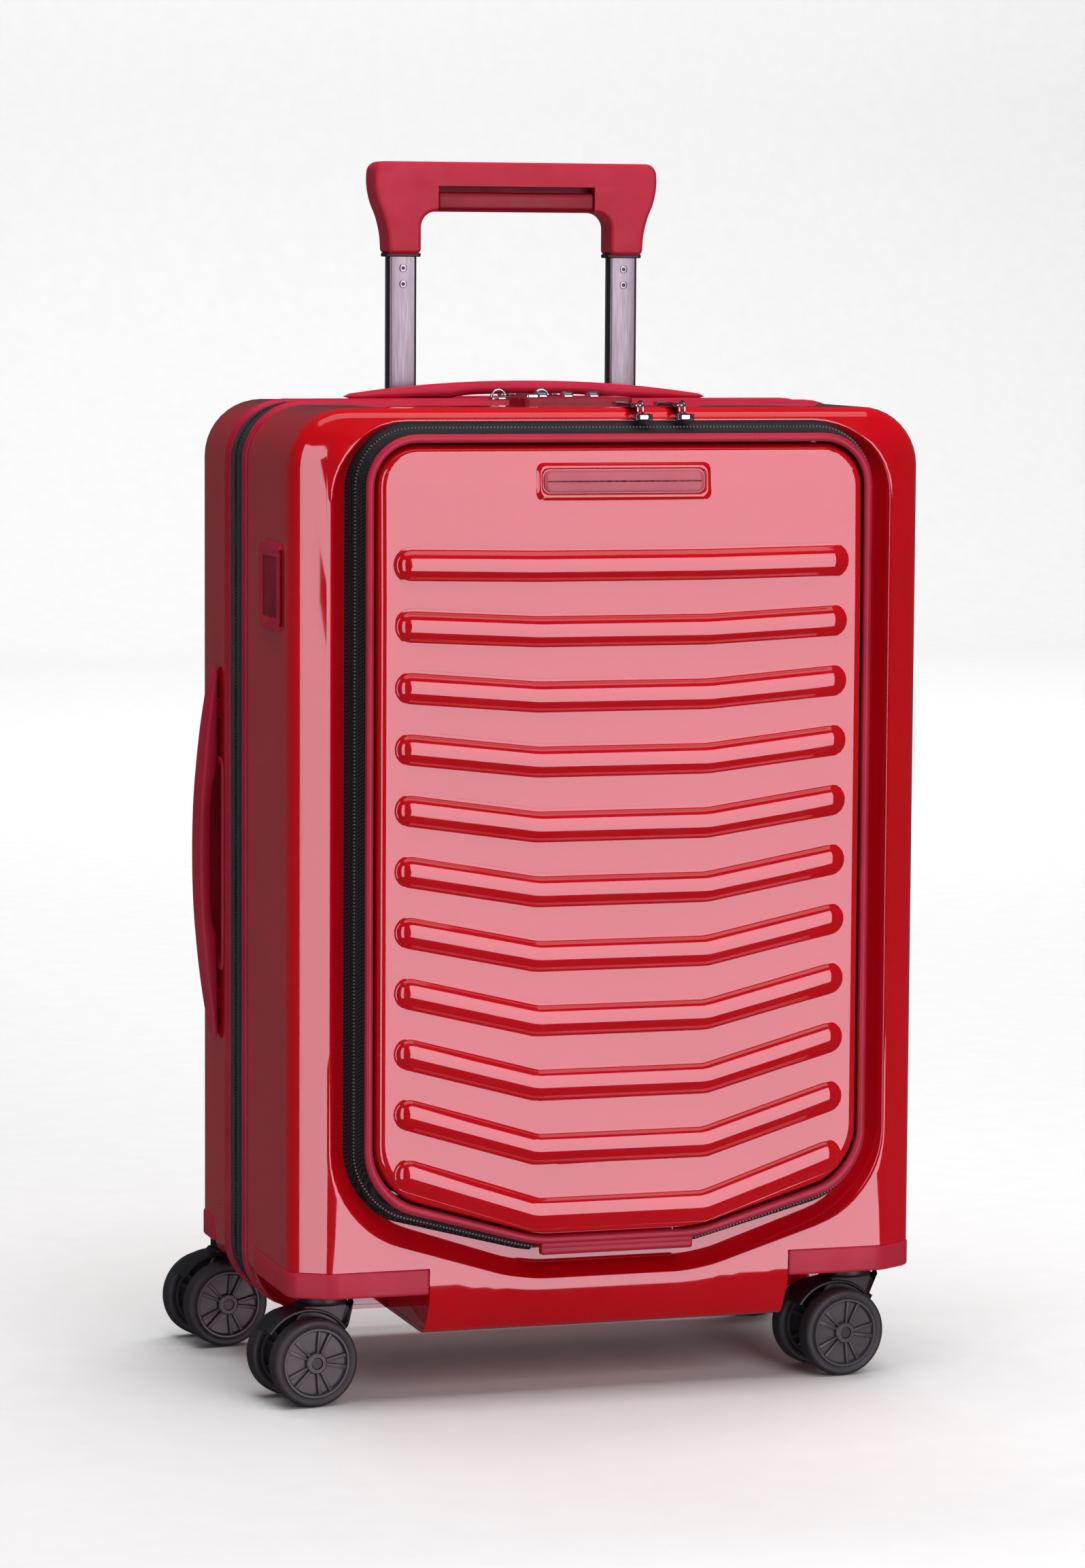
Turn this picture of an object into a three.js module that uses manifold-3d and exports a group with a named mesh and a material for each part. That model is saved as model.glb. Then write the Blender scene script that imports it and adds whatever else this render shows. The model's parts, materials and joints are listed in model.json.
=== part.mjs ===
// Hard-shell cabin trolley case on four twin-wheel casters, with a hinged front compartment.
// Millimetres, +Z up. The case is drawn with x = 0 on its mid-plane, y = 0 on the face of the
// front ribs, +Y towards the back and z = 0 on the floor. The whole group is then shifted so
// that the origin is the middle of the bounding box's bottom face.
import * as THREE from 'three';
import { mergeVertices } from 'three/addons/utils/BufferGeometryUtils.js';
import Module from 'manifold-3d';

const wasm = await Module();
wasm.setup();

// ---- driving dimensions ----------------------------------------------------------------
const HALF_WIDTH = 178;
const BOTTOM = 38;
const TOP = 539;
const FRONT = 18;
const BACK = 240;
const WALL = 2.4;
const CORNER_RADIUS = 32;
const FACET_WIDTH = 20;
const FACET_DEPTH = 12;
const BACK_RADIUS = 20;
const GAP = 0.3;
const ARC_STEPS = 4;

// the main zipper: two tapes that meet at SPLIT, each sewn to a piping on a shell's rim
const SPLIT = 148;
const TAPE_WIDTH = 15;
const PIPING_WIDTH = 8.7;
const PIPING_PROUD = 1.5;

// the front door, measured to the middle of its piping
const DOOR_HALF_WIDTH = 140;
const DOOR_TOP = 523.5;
const DOOR_BOTTOM = 91;
const DOOR_SIDE_BOTTOM = 118;
const DOOR_FLAT = 46;
const DOOR_FACE = 3.5;
const DOOR_REAR = 14;
const SLOPE_START = 482;
const TROUGH_FLOOR = 27;
const TRAY_DEPTH = 72;

// the raised ribs on the door
const RIB_COUNT = 11;
const RIB_TOP = 456.9;
const RIB_PITCH = 32.6;
const RIB_REACH = 118.4;
const RIB_FOLD = 48;
const RIB_RADIUS = 6.5;
const RIB_FIRST_DIP = 1.3;
const RIB_MORE_DIP = 2.25;

// corner brackets and casters
const BRACKET_INNER = 102.5;
const BRACKET_TOP = 76;
const BRACKET_BASE = 62;
const WHEEL_RADIUS = 24.3;
const WHEEL_THICKNESS = 12.5;
const WHEEL_SPACING = 32.5;
const TRAIL = 12;
const CASTER_TURN = THREE.MathUtils.degToRad(8);
const CASTERS = [
  { name: 'front_left', x: -152, y: 58, side: -1, rear: false },
  { name: 'front_right', x: 152, y: 58, side: 1, rear: false },
  { name: 'rear_left', x: -160, y: 226, side: -1, rear: true },
  { name: 'rear_right', x: 160, y: 226, side: 1, rear: true },
];

// the telescopic handle
const POST_X = 65.6;
const POST_Y = 215;
const GRIP_TOP = 673;
const GRIP_BASE = 621;
const WELL_FLOOR = 493;
const FOOT_TOP = 61.5;

// ---- looks -------------------------------------------------------------------------------
const LOOKS = {
  glossRed: { color: 0xb00a1c, roughness: 0.12, metalness: 0 },
  matteRed: { color: 0xa81a34, roughness: 0.45, metalness: 0 },
  fabric: { color: 0x232427, roughness: 0.95, metalness: 0 },
  lining: { color: 0x3a3b40, roughness: 0.9, metalness: 0 },
  chrome: { color: 0xd6d8da, roughness: 0.12, metalness: 1 },
  gunmetal: { color: 0x6e6e72, roughness: 0.35, metalness: 0.9 },
  leather: { color: 0x3a0c12, roughness: 0.55, metalness: 0 },
  blackPlastic: { color: 0x1e1e20, roughness: 0.5, metalness: 0 },
  tyre: { color: 0x2e2d30, roughness: 0.75, metalness: 0 },
};

// ---- solids ------------------------------------------------------------------------------
function solid(geometry) {
  const bare = geometry.clone();
  bare.deleteAttribute('normal');
  bare.deleteAttribute('uv');
  const merged = mergeVertices(bare, 1e-4);
  return new wasm.Manifold(new wasm.Mesh({
    numProp: 3,
    vertProperties: new Float32Array(merged.attributes.position.array),
    triVerts: new Uint32Array(merged.index.array),
  }));
}

function geometryOf(body) {
  const mesh = body.getMesh();
  const geometry = new THREE.BufferGeometry();
  geometry.setAttribute('position', new THREE.BufferAttribute(mesh.vertProperties, 3));
  geometry.setIndex(new THREE.BufferAttribute(mesh.triVerts, 1));
  geometry.computeVertexNormals();
  return geometry;
}

const join = (first, ...others) => others.reduce((body, other) => body.add(other), first);
const cut = (first, ...others) => others.reduce((body, other) => body.subtract(other), first);

function block(x0, x1, y0, y1, z0, z1) {
  const box = new THREE.BoxGeometry(x1 - x0, y1 - y0, z1 - z0);
  box.translate((x0 + x1) / 2, (y0 + y1) / 2, (z0 + z1) / 2);
  return solid(box);
}

function extruded(shape, length, bevel, segments) {
  const size = bevel?.size ?? 0;
  const thickness = bevel?.thickness ?? 0;
  const geometry = new THREE.ExtrudeGeometry(shape, {
    depth: length - 2 * thickness,
    curveSegments: segments,
    bevelEnabled: Boolean(bevel),
    bevelSize: size,
    bevelOffset: -size,
    bevelThickness: thickness,
    bevelSegments: bevel?.segments ?? 1,
  });
  geometry.translate(0, 0, thickness);
  return geometry;
}

// a shape drawn in x and z, given a depth along y
function frontView(shape, y0, y1, bevel, segments = ARC_STEPS) {
  const geometry = extruded(shape, y1 - y0, bevel, segments);
  geometry.rotateX(Math.PI / 2);
  geometry.translate(0, y1, 0);
  return solid(geometry);
}

// a shape drawn in x and y, given a height along z
function topView(shape, z0, z1, bevel, segments = ARC_STEPS) {
  const geometry = extruded(shape, z1 - z0, bevel, segments);
  geometry.translate(0, 0, z0);
  return solid(geometry);
}

// a shape drawn in y and z, given a width along x
function sideView(shape, x0, x1, bevel, segments = ARC_STEPS) {
  const geometry = extruded(shape, x1 - x0, bevel, segments);
  const turn = new THREE.Matrix4().makeBasis(
    new THREE.Vector3(0, 1, 0),
    new THREE.Vector3(0, 0, 1),
    new THREE.Vector3(1, 0, 0),
  );
  geometry.applyMatrix4(turn);
  geometry.translate(x0, 0, 0);
  return solid(geometry);
}

// a closed outline through the given corners, each rounded by its third number
function rounded(corners) {
  const shape = new THREE.Shape();
  const count = corners.length;
  corners.forEach(([x, y, radius], index) => {
    const corner = new THREE.Vector2(x, y);
    const before = new THREE.Vector2(...corners[(index + count - 1) % count]);
    const after = new THREE.Vector2(...corners[(index + 1) % count]);
    const start = corner.clone().add(before.sub(corner).setLength(radius));
    const end = corner.clone().add(after.sub(corner).setLength(radius));
    if (index === 0) shape.moveTo(start.x, start.y);
    else shape.lineTo(start.x, start.y);
    if (radius > 0) {
      const pull = 0.45;
      shape.bezierCurveTo(
        start.x + (x - start.x) * (1 - pull), start.y + (y - start.y) * (1 - pull),
        end.x + (x - end.x) * (1 - pull), end.y + (y - end.y) * (1 - pull),
        end.x, end.y,
      );
    }
  });
  shape.closePath();
  return shape;
}

function roundedRect(x0, y0, x1, y1, radius) {
  return rounded([[x0, y0, radius], [x1, y0, radius], [x1, y1, radius], [x0, y1, radius]]);
}

function ring(outer, inner, steps = ARC_STEPS) {
  const shape = outer.clone();
  shape.holes.push(new THREE.Path(inner.getPoints(steps).reverse()));
  return shape;
}

function cylinder(axis, radius, centre, length, sides = 20) {
  const geometry = new THREE.CylinderGeometry(radius, radius, length, sides);
  if (axis === 'x') geometry.rotateZ(Math.PI / 2);
  if (axis === 'z') geometry.rotateX(Math.PI / 2);
  geometry.translate(...centre);
  return solid(geometry);
}

const suitcase = new THREE.Group();

function add(name, look, body, group = suitcase) {
  const mesh = new THREE.Mesh(geometryOf(body), new THREE.MeshStandardMaterial(LOOKS[look]));
  mesh.name = name;
  group.add(mesh);
  return mesh;
}

// ---- outlines of the case and of the door ------------------------------------------------
function caseOutline(inset, bottom = BOTTOM) {
  const half = HALF_WIDTH - inset;
  return roundedRect(-half, bottom + inset, half, TOP - inset, CORNER_RADIUS - inset);
}

// the door's outline, wider or narrower than the middle of its piping by offset
function doorOutline(offset, extraBottom = 0) {
  const half = DOOR_HALF_WIDTH + offset;
  const top = DOOR_TOP + offset;
  const bottom = DOOR_BOTTOM - offset - extraBottom;
  const sideBottom = DOOR_SIDE_BOTTOM - offset - extraBottom;
  const topRadius = 26 + offset;
  const bottomRadius = 26 + offset / 2;
  return rounded([
    [DOOR_FLAT, bottom, 8],
    [half, sideBottom, bottomRadius],
    [half, top, topRadius],
    [-half, top, topRadius],
    [-half, sideBottom, bottomRadius],
    [-DOOR_FLAT, bottom, 8],
  ]);
}

const FACET = { size: FACET_WIDTH, thickness: FACET_DEPTH, segments: 1 };
const BACK_ROUND = { size: BACK_RADIUS, thickness: BACK_RADIUS, segments: 3 };
const FAR = 400;
const FRONT_PIPING = SPLIT - TAPE_WIDTH - PIPING_WIDTH;
const REAR_PIPING = SPLIT + TAPE_WIDTH + PIPING_WIDTH;
const FRONT_NOTCH_END = 106;
const REAR_NOTCH_START = 200;
const REAR_CLEARANCE_START = 181;
const CLEARANCE_TOP = 58;

// both corners at one end of the case, from inner towards the sides
function cornerBlocks(inner, y0, y1, z1) {
  return join(block(inner, FAR, y0, y1, 0, z1), block(-FAR, -inner, y0, y1, 0, z1));
}

// ---- scoops, wells and the lock share these footprints -------------------------------------
const WELL = { x: 90, y0: 201, y1: 229 };
const TOP_SCOOP = { x: 72, y0: 175, y1: 198.6, floor: 520 };
const SIDE_SCOOP = { y0: 177.5, y1: 206, z0: 222, z1: 338, floor: -158 };
const TOP_HANDLE_Y = 186.5;
const SIDE_HANDLE_Y = 192;
const HANDLE_WIDTH = 18;
const TOP_LEG_X = 88;
const SIDE_LEG_Z = [203, 367];
const LEG = { long: 12, wide: 8 };
const LOCK = { x0: -30, x1: 34, y0: 92, y1: FRONT_PIPING - 1, floor: 526 };
const TAG = { y0: 45, y1: 90, z0: 418.5, z1: 467 };

// ---- the two shells -------------------------------------------------------------------------
function rearShell() {
  const outer = frontView(caseOutline(0), FRONT, BACK, BACK_ROUND);
  const hollow = frontView(caseOutline(WALL), FRONT, BACK - WALL, { ...BACK_ROUND, size: 18, thickness: 18 });
  const inside = cut(
    hollow,
    cornerBlocks(BRACKET_INNER - WALL, REAR_NOTCH_START - WALL, FAR, BRACKET_TOP + GAP + WALL),
    cornerBlocks(BRACKET_INNER - WALL, REAR_CLEARANCE_START - WALL, FAR, CLEARANCE_TOP + WALL),
  );
  const legs = LEG.long / 2 + GAP;
  const legWidth = LEG.wide / 2 + GAP;
  return cut(
    outer,
    inside,
    block(-FAR, FAR, 0, REAR_PIPING + GAP, 0, 2 * FAR),
    cornerBlocks(BRACKET_INNER, REAR_NOTCH_START, FAR, BRACKET_TOP + GAP),
    cornerBlocks(BRACKET_INNER, REAR_CLEARANCE_START, FAR, CLEARANCE_TOP),
    block(-WELL.x, WELL.x, WELL.y0, WELL.y1, TOP - 40, FAR * 2),
    block(-TOP_SCOOP.x, TOP_SCOOP.x, TOP_SCOOP.y0, TOP_SCOOP.y1, TOP - 10, FAR * 2),
    block(-FAR, -HALF_WIDTH + 10, SIDE_SCOOP.y0, SIDE_SCOOP.y1, SIDE_SCOOP.z0, SIDE_SCOOP.z1),
    ...[-1, 1].map((side) => block(
      side * TOP_LEG_X - legs, side * TOP_LEG_X + legs,
      TOP_HANDLE_Y - legWidth, TOP_HANDLE_Y + legWidth, TOP - 10, TOP + 10,
    )),
    ...SIDE_LEG_Z.map((z) => block(
      -HALF_WIDTH - 10, -HALF_WIDTH + 10,
      SIDE_HANDLE_Y - legWidth, SIDE_HANDLE_Y + legWidth, z - legs, z + legs,
    )),
  );
}

function frontShell() {
  const outer = frontView(caseOutline(0), FRONT, BACK, FACET);
  const inside = cut(
    frontView(caseOutline(WALL), TROUGH_FLOOR + 3, BACK, { size: 4, thickness: 4, segments: 1 }),
    cornerBlocks(BRACKET_INNER - WALL, 0, FRONT_NOTCH_END + WALL, BRACKET_TOP + GAP + WALL),
  );
  const slope = { size: 8, thickness: 9, segments: 1 };
  const trough = frontView(doorOutline(17, 6), -30, TROUGH_FLOOR, slope);
  const opening = frontView(doorOutline(-5), 0, 2 * TROUGH_FLOOR, undefined);
  return cut(
    outer,
    inside,
    trough,
    opening,
    block(-FAR, FAR, FRONT_PIPING - GAP, FAR, 0, 2 * FAR),
    cornerBlocks(BRACKET_INNER, 0, FRONT_NOTCH_END, BRACKET_TOP + GAP),
    block(LOCK.x0, LOCK.x1, LOCK.y0, LOCK.y1, TOP - 10, 2 * FAR),
    block(-FAR, -HALF_WIDTH + 1.2, TAG.y0, TAG.y1, TAG.z0, TAG.z1),
  );
}

add('rear_shell', 'glossRed', rearShell());
add('front_shell', 'glossRed', frontShell());

// ---- main zipper: pipings and tapes ----------------------------------------------------------
function rimRing(outset, depth, y0, y1, bevel) {
  return frontView(ring(caseOutline(-outset), caseOutline(depth)), y0, y1, bevel);
}

const pipingRound = { size: 1.2, thickness: 1.2, segments: 1 };
const pipingProfile = [PIPING_PROUD, WALL + 1];
add('front_piping', 'matteRed', rimRing(...pipingProfile, FRONT_PIPING, FRONT_PIPING + PIPING_WIDTH - GAP, pipingRound));
add('front_zip_tape', 'fabric', rimRing(-0.6, WALL + 0.4, SPLIT - TAPE_WIDTH, SPLIT - GAP / 2));
add('rear_zip_tape', 'fabric', rimRing(-0.6, WALL + 0.4, SPLIT + GAP / 2, SPLIT + TAPE_WIDTH));
add('rear_piping', 'matteRed', rimRing(...pipingProfile, REAR_PIPING - PIPING_WIDTH + GAP, REAR_PIPING, pipingRound));

// ---- front door -------------------------------------------------------------------------------
// a rib runs level between its folds and rises from them to its two round ends
function ribOutline(index) {
  const z = RIB_TOP - index * RIB_PITCH;
  const dip = RIB_FIRST_DIP + index * RIB_MORE_DIP;
  const angle = Math.atan2(dip, RIB_REACH - RIB_FOLD);
  const shape = new THREE.Shape();
  shape.moveTo(-RIB_FOLD, z - dip - RIB_RADIUS);
  shape.lineTo(RIB_FOLD, z - dip - RIB_RADIUS);
  shape.absarc(RIB_REACH, z, RIB_RADIUS, angle - Math.PI / 2, angle + Math.PI / 2, false);
  shape.lineTo(RIB_FOLD, z - dip + RIB_RADIUS);
  shape.lineTo(-RIB_FOLD, z - dip + RIB_RADIUS);
  shape.absarc(-RIB_REACH, z, RIB_RADIUS, Math.PI / 2 - angle, 1.5 * Math.PI - angle, false);
  shape.closePath();
  return shape;
}

const BADGE = { x: 47, z0: 492.5, z1: 508.5, seat: 6.5 };

function frontDoor() {
  const flange = frontView(doorOutline(-2.4), DOOR_REAR - 4, DOOR_REAR);
  const raised = frontView(doorOutline(-4), DOOR_FACE, DOOR_REAR, { size: 3.5, thickness: 3.5, segments: 1 });
  const slope = new THREE.Shape([
    new THREE.Vector2(-10, SLOPE_START),
    new THREE.Vector2(DOOR_FACE, SLOPE_START),
    new THREE.Vector2(DOOR_FACE + 3.5, DOOR_TOP),
    new THREE.Vector2(-10, DOOR_TOP),
  ]);
  const hollow = frontView(doorOutline(-10), DOOR_FACE + 2.6, DOOR_REAR + 5);
  const ribs = Array.from({ length: RIB_COUNT }, (_, index) => frontView(
    ribOutline(index), 0, DOOR_FACE + 5, { size: 2.4, thickness: 2.4, segments: 1 }, 3,
  ));
  return join(
    cut(
      join(flange, raised),
      sideView(slope, -FAR, FAR),
      cut(hollow, block(-FAR, FAR, 0, FAR, SLOPE_START - 6, FAR * 2)),
      block(-BADGE.x, BADGE.x, -10, BADGE.seat, BADGE.z0, BADGE.z1),
    ),
    ...ribs.map((rib) => cut(rib, block(-FAR, FAR, DOOR_FACE + 1.5, FAR, 0, FAR * 2))),
  );
}

add('front_door', 'glossRed', frontDoor());
add('badge_plate', 'chrome', frontView(
  roundedRect(-BADGE.x + 2, BADGE.z0 + 1.5, BADGE.x - 2, BADGE.z1 - 1.5, 2),
  BADGE.seat - 2.6, BADGE.seat - GAP, { size: 0.6, thickness: 0.6, segments: 1 }, 2,
));
add('door_piping', 'matteRed', frontView(ring(doorOutline(2), doorOutline(-2)), 5.3, 9.7, pipingRound));

const TAB = { half: 42, z0: 82, z1: 88.7, y0: 8, y1: 12.5 };
add('door_hinge_tab', 'matteRed', sideView(
  roundedRect(TAB.y0, TAB.z0, TAB.y1, TAB.z1, 1.5), -TAB.half, TAB.half, undefined, 2,
));

// the pocket zipper runs round the door and stops at both ends of the hinge tab
const tabRoom = block(-TAB.half - 4, TAB.half + 4, 0, FAR, 0, DOOR_BOTTOM + 6);
const doorTape = frontView(ring(doorOutline(4), doorOutline(1.8)), DOOR_REAR - 4, 18);
const frameTape = frontView(ring(doorOutline(7), doorOutline(4.4)), 18 + GAP, TROUGH_FLOOR - GAP);
add('door_zip_tape', 'fabric', cut(doorTape, tabRoom));
add('frame_zip_tape', 'fabric', cut(frameTape, tabRoom));

function pocketTray() {
  const flange = frontView(doorOutline(0), TROUGH_FLOOR + 3 + GAP, TROUGH_FLOOR + 5);
  const tub = frontView(doorOutline(-6), TROUGH_FLOOR + 3 + GAP, TRAY_DEPTH);
  return cut(join(flange, tub), frontView(doorOutline(-7.6), 0, TRAY_DEPTH - 1.6));
}

add('pocket_tray', 'lining', pocketTray());
add('divider_panel', 'lining', frontView(
  roundedRect(-HALF_WIDTH + 8, BRACKET_TOP + 8, HALF_WIDTH - 8, LOCK.floor - 2, 20), 117, 119, undefined, 3,
));

// ---- combination lock ---------------------------------------------------------------------------
const DIAL = { radius: 6.5, width: 6, y: 115.5, z: 539.2, xs: [-13, 2, 17] };
const BUTTON = { x0: -27, x1: -18.5, y0: 97, y1: 119 };
const LOCK_TOP = 543;

function lockHousing() {
  const body = topView(
    roundedRect(LOCK.x0 + GAP, LOCK.y0 + GAP, LOCK.x1 - GAP, LOCK.y1 - GAP, 2),
    LOCK.floor, LOCK_TOP, undefined, 2,
  );
  const bevel = new THREE.Shape([
    new THREE.Vector2(LOCK.y0 - 1, TOP),
    new THREE.Vector2(LOCK.y0 + 9, LOCK_TOP + 1),
    new THREE.Vector2(LOCK.y0 - 1, LOCK_TOP + 1),
  ]);
  const slots = DIAL.xs.map((x) => block(
    x - DIAL.width / 2 - 0.4, x + DIAL.width / 2 + 0.4,
    DIAL.y - DIAL.radius - 0.5, DIAL.y + DIAL.radius + 0.5, DIAL.z - DIAL.radius - 0.5, FAR * 2,
  ));
  const buttonWell = block(
    BUTTON.x0 - GAP, BUTTON.x1 + GAP, BUTTON.y0 - GAP, BUTTON.y1 + GAP, LOCK_TOP - 5, FAR * 2,
  );
  return cut(body, sideView(bevel, LOCK.x0 - 1, LOCK.x1 + 1), ...slots, buttonWell);
}

add('lock_housing', 'matteRed', lockHousing());
DIAL.xs.forEach((x, index) => {
  add(`lock_dial_${index + 1}`, 'chrome', cylinder('x', DIAL.radius, [x, DIAL.y, DIAL.z], DIAL.width, 16));
});
add('lock_button', 'matteRed', topView(
  roundedRect(BUTTON.x0, BUTTON.y0, BUTTON.x1, BUTTON.y1, 1.5), LOCK_TOP - 2, LOCK_TOP + 1.5, undefined, 2,
));

// ---- zipper sliders and pulls ----------------------------------------------------------------------
// the main pulls lie along the zipper, towards +X, and turn about an axis across it
const MAIN_SLIDERS = [-27, -2];
const MAIN_SLIDER_BASE = TOP + 0.3;
MAIN_SLIDERS.forEach((x, index) => {
  const base = MAIN_SLIDER_BASE;
  const body = topView(roundedRect(x - 6, SPLIT - 5, x + 6, SPLIT + 5, 2), base, base + 2.4, undefined, 2);
  const bail = cut(
    frontView(roundedRect(x - 4.5, base + 2, x + 3.5, base + 7.4, 2), SPLIT - 1, SPLIT + 1, undefined, 2),
    block(x - 3, x + 2, 0, FAR, base + 2.4, base + 6),
  );
  add(`main_slider_${index + 1}`, 'chrome', join(body, bail));
  const pull = topView(
    ring(
      roundedRect(x - 1.2, SPLIT - 3.6, x + 17, SPLIT + 3.6, 2),
      roundedRect(x + 0.8, SPLIT - 1.8, x + 6.5, SPLIT + 1.8, 0.6),
      1,
    ),
    base + 3, base + 4.6, undefined, 2,
  );
  add(`main_pull_${index + 1}`, 'chrome', pull);
});

// the pocket pulls lie back over the case's top and turn about an axis along the zipper
const POCKET_SLIDERS = [13.6, 37.2];
const POCKET_SLIDER = { y0: 12.5, y1: 24, z0: 532.6, z1: 536 };
POCKET_SLIDERS.forEach((x, index) => {
  const { y0, y1, z0, z1 } = POCKET_SLIDER;
  const body = topView(roundedRect(x - 5.5, y0, x + 5.5, y1, 2), z0, z1, undefined, 2);
  const bail = cut(
    sideView(roundedRect(y0 + 3, z1 - 1, y1, z1 + 7.7, 2), x - 1, x + 1, undefined, 2),
    block(x - 2, x + 2, y0 + 4.6, y1 - 1.4, z1, z1 + 6.2),
  );
  add(`pocket_slider_${index + 1}`, 'chrome', join(body, bail));
  const loop = topView(
    ring(
      roundedRect(x - 5, y1 - 3.8, x + 5, y1 + 34, 2),
      roundedRect(x - 2.6, y1 - 2, x + 2.6, y1 + 5, 1),
      1,
    ),
    TOP + 0.5, TOP + 2.3, undefined, 2,
  );
  add(`pocket_pull_${index + 1}`, 'leather', loop);
});

// ---- carry handles ---------------------------------------------------------------------------------
// a low arch drawn along u with its outer side at v; base is the case's surface
function archOutline(from, to, base, rise) {
  const middle = (from + to) / 2;
  const finger = (to - from) * 0.2;
  const shape = new THREE.Shape();
  shape.moveTo(from, base + 1);
  shape.lineTo(middle - finger * 1.6, base + 1);
  shape.quadraticCurveTo(middle - finger, base + 3.4, middle, base + 3.4);
  shape.quadraticCurveTo(middle + finger, base + 3.4, middle + finger * 1.6, base + 1);
  shape.lineTo(to, base + 1);
  shape.lineTo(to, base + 3);
  shape.quadraticCurveTo(middle + finger * 1.4, base + rise, middle, base + rise);
  shape.quadraticCurveTo(middle - finger * 1.4, base + rise, from, base + 3);
  shape.closePath();
  return shape;
}

function topHandle() {
  const half = HANDLE_WIDTH / 2;
  const arch = frontView(
    archOutline(-106, 106, TOP, 11), TOP_HANDLE_Y - half, TOP_HANDLE_Y + half,
    { size: 0.8, thickness: 2, segments: 1 },
  );
  const legs = [-1, 1].map((side) => block(
    side * TOP_LEG_X - LEG.long / 2, side * TOP_LEG_X + LEG.long / 2,
    TOP_HANDLE_Y - LEG.wide / 2, TOP_HANDLE_Y + LEG.wide / 2, TOP - 18, TOP + 2.5,
  ));
  return join(arch, ...legs);
}

function sideHandle() {
  const half = HANDLE_WIDTH / 2;
  const drawn = archOutline(180, 390, HALF_WIDTH, 13.6);
  const geometry = extruded(drawn, HANDLE_WIDTH, { size: 0.8, thickness: 2, segments: 1 }, 6);
  // drawn across as height z and up as distance out to the left
  geometry.applyMatrix4(new THREE.Matrix4().makeBasis(
    new THREE.Vector3(0, 0, 1),
    new THREE.Vector3(-1, 0, 0),
    new THREE.Vector3(0, -1, 0),
  ));
  geometry.translate(0, SIDE_HANDLE_Y + half, 0);
  const legs = SIDE_LEG_Z.map((z) => block(
    -HALF_WIDTH - 2.5, -HALF_WIDTH + 18,
    SIDE_HANDLE_Y - LEG.wide / 2, SIDE_HANDLE_Y + LEG.wide / 2, z - LEG.long / 2, z + LEG.long / 2,
  ));
  return join(solid(geometry), ...legs);
}

add('top_handle', 'matteRed', topHandle());
add('side_handle', 'matteRed', sideHandle());

function openBox(x0, x1, y0, y1, z0, z1, mouth) {
  const wall = 1.6;
  const inner = {
    up: [x0 + wall, x1 - wall, y0 + wall, y1 - wall, z0 + wall, z1 + wall],
    left: [x0 - wall, x1 - wall, y0 + wall, y1 - wall, z0 + wall, z1 - wall],
  }[mouth];
  return cut(block(x0, x1, y0, y1, z0, z1), block(...inner));
}

add('top_handle_scoop', 'matteRed', openBox(
  -TOP_SCOOP.x + GAP, TOP_SCOOP.x - GAP, TOP_SCOOP.y0 + GAP, TOP_SCOOP.y1 - GAP, TOP_SCOOP.floor, TOP, 'up',
));
add('side_handle_scoop', 'matteRed', openBox(
  -HALF_WIDTH, SIDE_SCOOP.floor, SIDE_SCOOP.y0 + GAP, SIDE_SCOOP.y1 - GAP,
  SIDE_SCOOP.z0 + GAP, SIDE_SCOOP.z1 - GAP, 'left',
));

// ---- name tag in the left side -------------------------------------------------------------------------
const CARD = { thickness: 0.9, edge: 4 };
const tagFace = -HALF_WIDTH - 1.9;
const tagHolder = sideView(
  roundedRect(TAG.y0 + GAP, TAG.z0 + GAP, TAG.y1 - GAP, TAG.z1 - GAP, 7), tagFace, -HALF_WIDTH + 0.9, undefined, 3,
);
const cardRoom = block(
  tagFace + 0.5, tagFace + 1.8, 0, TAG.y1 - CARD.edge, TAG.z0 + CARD.edge, TAG.z1 - CARD.edge,
);
const tagWindow = block(
  tagFace - 1, tagFace + 1, TAG.y0 + 8, TAG.y1 - 8, TAG.z0 + 9, TAG.z1 - 9,
);
add('name_tag_holder', 'matteRed', cut(tagHolder, cardRoom, tagWindow));
add('name_tag_card', 'blackPlastic', block(
  tagFace + 0.7, tagFace + 0.7 + CARD.thickness, TAG.y0 + 1, TAG.y1 - CARD.edge - GAP,
  TAG.z0 + CARD.edge + GAP, TAG.z1 - CARD.edge - GAP,
));

// ---- telescopic handle --------------------------------------------------------------------------------
// each stage is a pair of rectangular tubes: outer fixed, middle sliding, inner sliding with the grip
const STAGES = [
  { name: 'outer', width: 24.7, depth: 18.2, z0: FOOT_TOP + GAP, z1: WELL_FLOOR - 3 - GAP },
  { name: 'middle', width: 20.6, depth: 14.1, z0: FOOT_TOP + 4, z1: WELL_FLOOR - 0.5 },
  { name: 'inner', width: 16.5, depth: 10, z0: FOOT_TOP + 124, z1: GRIP_BASE + 36 },
];
const TUBE_WALL = 1.6;

function tubeSection(x, width, depth) {
  return roundedRect(x - width / 2, POST_Y - depth / 2, x + width / 2, POST_Y + depth / 2, 2);
}

const SIDES = [['left', -POST_X], ['right', POST_X]];
for (const [side, x] of SIDES) {
  for (const { name, width, depth, z0, z1 } of STAGES) {
    const section = ring(
      tubeSection(x, width, depth),
      tubeSection(x, width - 2 * TUBE_WALL, depth - 2 * TUBE_WALL),
      1,
    );
    add(`${name}_tube_${side}`, 'gunmetal', topView(section, z0, z1, undefined, 1));
  }
}

function gripOutline() {
  return rounded([
    [-84, GRIP_TOP, 5], [-84.5, 652, 6], [-76.2, 635, 6], [-75.4, GRIP_BASE, 0],
    [-56.2, GRIP_BASE, 0], [-56.2, 645, 8], [56.2, 645, 8], [56.2, GRIP_BASE, 0],
    [75.4, GRIP_BASE, 0], [76.2, 635, 6], [84.5, 652, 6], [84, GRIP_TOP, 5],
  ]);
}

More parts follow.
